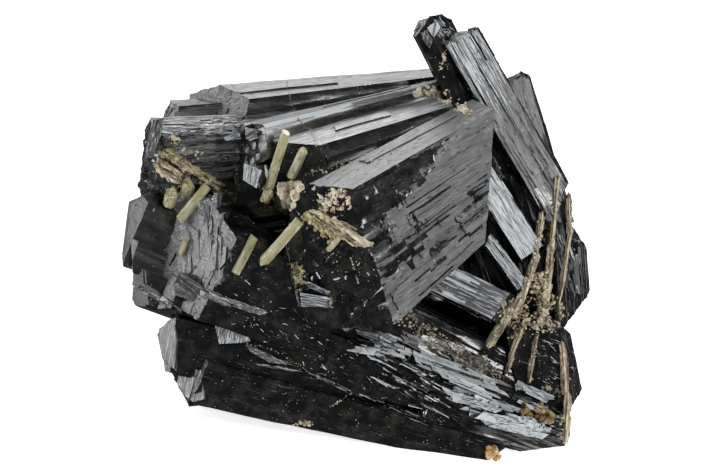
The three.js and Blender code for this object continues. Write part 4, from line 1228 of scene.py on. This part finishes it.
def fill_etching(nodes, given):
    """Patches of grey and silvery sheen, drawn out along the crystal: more of them where film is higher.
    Partly an etched film, partly painted sheen.
    """
    place, length, width, film = (given[label] for label in ("Vector", "Length", "Width", "Film"))
    moved = nodes.add("ShaderNodeVectorMath", {0: place, 1: (0.31, 0.17, 0.23)}, operation="ADD").outputs[0]
    narrow = nodes.times(width, 0.3)
    coarse = nodes.streaks(place, length, width, 4.0, 0.55)
    fine = nodes.streaks(place, nodes.times(length, 0.4), narrow, 2.0, 0.6)
    thin = nodes.streaks(moved, nodes.times(length, 0.6), narrow, 3.0, 0.62)
    waves = nodes.streaks(place, nodes.times(length, 0.35), nodes.times(width, 1.6), 2.0, 0.5)

    both = nodes.range(nodes.plus(nodes.times(coarse, 0.6), nodes.times(fine, 0.4)), 0.36, 0.64)
    cover = nodes.minus(nodes.times(film, 1.3), 0.14)
    grey = nodes.range(nodes.minus(cover, both), -0.05, 0.09)
    more = nodes.minus(nodes.times(nodes.minus(film, 1.0), 1.3), 0.14)
    silver_sheen = nodes.range(nodes.minus(more, nodes.range(thin, 0.37, 0.63)), -0.1, 0.16)
    power = nodes.plus(nodes.range(coarse, 0.3, 0.7, -0.7, 0.7), nodes.range(fine, 0.3, 0.7, -0.9, 0.9))
    tone = nodes.math("POWER", 2.0, nodes.times(power, given["Streak"]))
    height = nodes.plus(nodes.times(grey, 0.35), nodes.times(fine, 0.65))
    height = nodes.plus(nodes.plus(height, nodes.times(thin, 0.5)), nodes.times(waves, 1.2))
    height = nodes.times(height, nodes.range(film, 0.4, 1.0, 0.08, 1.0))
    return {"Grey": grey, "Silver": silver_sheen, "Tone": tone, "Height": height}


def fill_flecks_and_glints(nodes, given):
    """Small uneven bright spots, gathered in patches: partly pale flecks on the crystal, partly painted
    glints.
    """
    grain = nodes.noise(given["Vector"], given["Scale"], 2.0, 0.5)
    patchy = nodes.range(nodes.noise(given["Vector"], 260.0, 3.0, 0.6), 0.42, 0.62, -0.05, 0.04)
    return {"Mask": nodes.range(nodes.plus(grain, patchy), given["Above"], nodes.plus(given["Above"], 0.03))}


def fill_pits(nodes, given):
    """Scattered small pits, a chosen share of all the places for them."""
    place = nodes.drawn_out(given["Vector"], given["Length"], given["Width"])
    cells = nodes.add("ShaderNodeTexVoronoi", {"Vector": place, "Scale": 1.0}, feature="F1").outputs
    chance = nodes.add("ShaderNodeSeparateColor", {"Color": cells["Color"]}).outputs[0]
    chosen = nodes.math("LESS_THAN", chance, given["Share"])
    return {"Mask": nodes.times(nodes.range(cells["Distance"], 0.25, 0.4, 1.0, 0.0), chosen)}


def fill_hairs(nodes, given):
    """Thin lines along the crystal."""
    hair = nodes.streaks(given["Vector"], given["Length"], given["Width"], 2.0, 0.5)
    patchy = nodes.range(nodes.noise(given["Vector"], 240.0, 2.0, 0.6), 0.4, 0.65, -0.08, 0.035)
    return {"Mask": nodes.range(nodes.plus(hair, patchy), given["Above"], nodes.plus(given["Above"], 0.04))}


ETCHING = group("etching", {"Film": 1.0, "Length": 0.01, "Width": 0.001, "Streak": 1.0},
                ["Grey", "Silver", "Tone", "Height"], fill_etching)
FLECKS_AND_GLINTS = group("specks", {"Scale": 2200.0, "Above": 0.72}, ["Mask"], fill_flecks_and_glints)
PITS = group("pits", {"Length": 0.002, "Width": 0.0005, "Share": 0.1}, ["Mask"], fill_pits)
HAIRS = group("hairs", {"Length": 0.003, "Width": 0.0002, "Above": 0.65}, ["Mask"], fill_hairs)

CRYSTAL_BLACK = (0.006, 0.0062, 0.0064)
# Painted sheen: silvery streaks that stand for lamp light off lustrous faces.
SILVER_SHEEN = (0.72, 0.765, 0.8)
GLINT = (0.34, 0.35, 0.34)
FLECK_AND_GLINT = (0.62, 0.61, 0.57)
DUST = (0.5, 0.47, 0.38)
QUARTZ_CLEAR = (0.56, 0.52, 0.26)
QUARTZ_MILK = (0.93, 0.91, 0.66)
QUARTZ_DIRT = (0.14, 0.1, 0.03)
# The dark colour of each crust fills the low parts of its relief: partly darker grains, partly painted shade
# in the hollows.
CRUST_COLOURS = {  # pale, middle, dark
    "cream": ((0.95, 0.88, 0.72), (0.75, 0.65, 0.47), (0.28, 0.21, 0.13)),
    "tan": ((0.92, 0.84, 0.66), (0.63, 0.545, 0.385), (0.14, 0.115, 0.075)),
    "yellow": ((0.78, 0.72, 0.48), (0.54, 0.47, 0.25), (0.1, 0.08, 0.035)),
    "brown": ((0.88, 0.79, 0.62), (0.55, 0.465, 0.325), (0.13, 0.105, 0.07)),
    "golden": ((0.6, 0.48, 0.24), (0.34, 0.25, 0.1), (0.05, 0.036, 0.016)),
    "orange": ((0.9, 0.72, 0.45), (0.75, 0.48, 0.2), (0.25, 0.13, 0.04)),
}


def start_material(name):
    """A new material with one plain shader."""
    material = bpy.data.materials.new(name)
    material.use_nodes = True
    material.node_tree.nodes.clear()
    nodes = Nodes(material.node_tree)
    shader = nodes.add("ShaderNodeBsdfPrincipled")
    nodes.add("ShaderNodeOutputMaterial", {0: shader.outputs[0]})
    return material, nodes, shader


def dress(nodes, shader, colour, roughness, height, strength, distance):
    """Leads colour, roughness and relief into the shader."""
    bump = nodes.add("ShaderNodeBump", {"Height": height, "Strength": strength, "Distance": distance})
    for label, socket in (("Base Color", colour), ("Roughness", roughness), ("Normal", bump.outputs[0])):
        nodes.tree.links.new(socket, shader.inputs[label])


def black_crystal(name, turn, grain=1.0, streak=1.0, grey=FILM_AND_SHEEN_GREY, dull=0.0, glint=0.3):
    """Black crystal: film up to 1 covers it in patches of grey, film up to 2 in streaks of silvery sheen;
    both partly an etched film, partly painted sheen.
    """
    material, nodes, shader = start_material(name)
    own = nodes.own_place(turn)
    film = nodes.add("ShaderNodeAttribute", attribute_name="film").outputs["Fac"]
    etching = nodes.use(ETCHING, Vector=own, Film=film, Streak=streak,
                        Length=0.009 * grain, Width=0.001 * grain)
    cover = etching["Grey"]
    pits = nodes.use(PITS, Vector=own, Length=0.0013, Width=0.00045, Share=0.1)["Mask"]
    ticks = nodes.use(PITS, Vector=own, Length=0.0024, Width=0.0003, Share=0.17)["Mask"]
    # Bright spots: partly pale flecks on the crystal, partly painted glints.
    specks = nodes.use(FLECKS_AND_GLINTS, Vector=own, Scale=2300.0, Above=0.725)["Mask"]
    hairs = nodes.use(HAIRS, Vector=own, Length=0.004, Width=0.00013, Above=0.66)["Mask"]
    level = nodes.times(nodes.times(cover, etching["Tone"]), 0.5)
    for mask, left in ((ticks, 0.3), (pits, 0.25), (hairs, 0.3)):
        level = nodes.times(level, nodes.range(mask, 0.0, 1.0, 1.0, left))
    bare = nodes.minus(1.0, cover, clamp=True)
    # Painted glints: bright fine lines on the bare black, standing for lamp light caught on the striations.
    painted_glint = nodes.times(nodes.times(hairs, bare), glint)
    dust = nodes.range(nodes.noise(own, 420.0, 4.0, 0.65), 0.45, 0.7, 0.0, 0.065)
    # The grey and silvery film: partly a dull etched coat, partly painted sheen, lamp light off the lustrous
    # faces set into the colour.
    colour = nodes.mix(level, [part + dull for part in CRYSTAL_BLACK], grey)
    for share, added in ((etching["Silver"], SILVER_SHEEN), (painted_glint, GLINT), (specks, FLECK_AND_GLINT), (dust, DUST)):
        colour = nodes.mix(share, colour, added)
    roughness = nodes.range(cover, 0.0, 1.0, 0.12 + 14 * dull, 0.38)
    height = nodes.minus(etching["Height"], nodes.times(pits, 0.5))
    dress(nodes, shader, colour, roughness, height, 0.6, 0.00025 * grain)
    shader.inputs["IOR"].default_value = 1.75
    return material


def quartz_finish(name, turn):
    """Milky yellow-green quartz with growth lines across the prism."""
    material, nodes, shader = start_material(name)
    own = nodes.own_place(turn)
    milk = nodes.streaks(own, 0.004, 0.0012, 3.0, 0.6)
    lines = nodes.streaks(own, 0.00025, 0.003, 2.0, 0.5)
    dirt = nodes.range(nodes.noise(own, 900.0, 4.0, 0.65), 0.56, 0.68)
    colour = nodes.mix(nodes.range(milk, 0.36, 0.64), QUARTZ_CLEAR, QUARTZ_MILK)
    colour = nodes.mix(nodes.times(dirt, 0.6), colour, QUARTZ_DIRT)
    dress(nodes, shader, colour, nodes.range(milk, 0.3, 0.7, 0.12, 0.34), lines, 0.5, 0.00012)
    shader.inputs["Transmission Weight"].default_value = 0.35
    shader.inputs["IOR"].default_value = 1.54
    return material


def crust_finish(name, colours, turn=None):
    """A dull mineral crust: pale grains, darker hollows: partly darker grains, partly painted shade in the
    hollows. On plates and laths it is drawn out.
    """
    pale, middle, dark_and_shaded = colours
    material, nodes, shader = start_material(name)
    place = nodes.own_place(turn)
    if turn is not None:
        place = nodes.drawn_out(place, 3.0, 1.0)
    coarse, fine = nodes.noise(place, 750.0, 4.0, 0.65), nodes.noise(place, 3200.0, 3.0, 0.6)
    both = nodes.plus(nodes.times(coarse, 0.6), nodes.times(fine, 0.4))
    # Darker where the relief is low: painted shade in the hollows, along with darker grains.
    colour = nodes.mix(nodes.range(both, 0.4, 0.52), dark_and_shaded, middle)
    colour = nodes.mix(nodes.range(both, 0.5, 0.62), colour, pale)
    dress(nodes, shader, colour, nodes.range(both, 0.4, 0.6, 0.95, 0.7), both, 0.8, 0.0004)
    return material


# --- stage ----------------------------------------------------------------------------------

def add_camera():
    bpy.ops.object.camera_add(location=EYE)
    camera = bpy.context.object
    camera.rotation_euler = BACK.to_track_quat("Z", "Y").to_euler()
    camera.data.lens = LENS
    camera.data.sensor_width = 36
    camera.data.clip_start = 0.05
    bpy.context.scene.camera = camera


def add_floor():
    bpy.ops.mesh.primitive_plane_add(size=6)
    floor = bpy.context.object
    floor.name = "floor"
    material, _, shader = start_material("pale_floor")
    for label, value in (("Base Color", (0.9, 0.9, 0.9, 1)), ("Roughness", 0.9),
                         ("Emission Color", (1, 1, 1, 1)), ("Emission Strength", 0.8)):
        shader.inputs[label].default_value = value
    floor.data.materials.append(material)
    floor.visible_glossy = False


def soft_panel(name, direction, size, radiance):
    """A panel of even light that faces the cluster."""
    direction = Vector(direction).normalized()
    bpy.ops.object.light_add(type="AREA", location=LIT_POINT + direction * PANEL_DISTANCE)
    lamp = bpy.context.object
    lamp.name = name
    lamp.rotation_euler = direction.to_track_quat("Z", "Y").to_euler()
    lamp.data.shape = "RECTANGLE"
    lamp.data.size, lamp.data.size_y = size
    lamp.data.energy = radiance * math.pi * size[0] * size[1]


def light_the_stage():
    world = bpy.data.worlds.new("dim_room")
    bpy.context.scene.world = world
    world.use_nodes = True
    world.node_tree.nodes["Background"].inputs[0].default_value = (0.06, 0.062, 0.065, 1)
    bpy.context.scene.view_settings.view_transform = "Standard"
    soft_panel("back_panel", (0.1, 0.83, 0.53), (1.0, 0.68), 5.8)
    soft_panel("key_panel", (0.52, -0.5, 0.72), (0.45, 0.45), 10.0)
    soft_panel("right_panel", (0.95, 0.2, 0.3), (0.6, 0.5), 2.5)
    soft_panel("left_panel", (-0.93, 0.2, 0.2), (0.9, 0.6), 5.5)


# --- making ---------------------------------------------------------------------------------

add_camera()
light_the_stage()
add_floor()

grown = set()


def keep(piece, finish, node):
    """Gives a finished piece its material and puts it in the place of the plain one."""
    piece.data.materials.append(finish)
    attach(piece, "root")
    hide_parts(node)
    grown.add(piece.name)


for number, (node, members) in enumerate(CRYSTALS.items()):
    for place, (name, spec) in enumerate(members.items()):
        crystal, turn = make_crystal(name if name != node else name + "_surface", spec, 100 * number + place)
        finish = black_crystal(name + "_black", turn, spec["grain"] / PATTERN_GRAIN, spec["streak"],
                               spec["grey"], spec["dull"], spec["glint"])
        keep(crystal, finish, node)

carriers = set(grown)
for number, (name, spec) in enumerate(BUNDLES.items()):
    bundle, turn = make_bundle(name, spec, carriers, BUNDLE_SEED + number)
    if "finish" in spec:
        finish = crust_finish(name + "_crust", CRUST_COLOURS[spec["finish"]], turn)
        keep(bundle, finish, spec["on"])
    else:
        keep(bundle, black_crystal(name + "_black", turn, LATH_PATTERN), spec["on"])

for number, (name, spec) in enumerate(PLATES.items()):
    piece, turn = make_plate(name, spec, PLATE_SEED + number)
    finish = black_crystal(name + "_black", turn, spec["grain"] / PATTERN_GRAIN)
    keep(piece, finish, spec["on"])

for number, (name, spec) in enumerate(QUARTZ.items()):
    piece, turn = make_quartz(name + "_prism", spec, QUARTZ_SEED + number)
    keep(piece, quartz_finish(name + "_milk", turn), name)

for number, (name, plates) in enumerate(VEINS.items()):
    pieces, turn = make_vein(name, plates, VEIN_SEED + 10 * number)
    finish = crust_finish(name + "_brown", CRUST_COLOURS["brown"], turn)
    for piece in pieces:
        keep(piece, finish, name)

carriers = set(grown)
finishes = {name: crust_finish(name + "_crust", colours) for name, colours in CRUST_COLOURS.items()}
for number, (name, spec) in enumerate(CRUSTS.items()):
    crust = make_crust(name + "_lumps", spec, carriers, CRUST_SEED + number)
    keep(crust, finishes[spec["finish"]], spec.get("on", name))
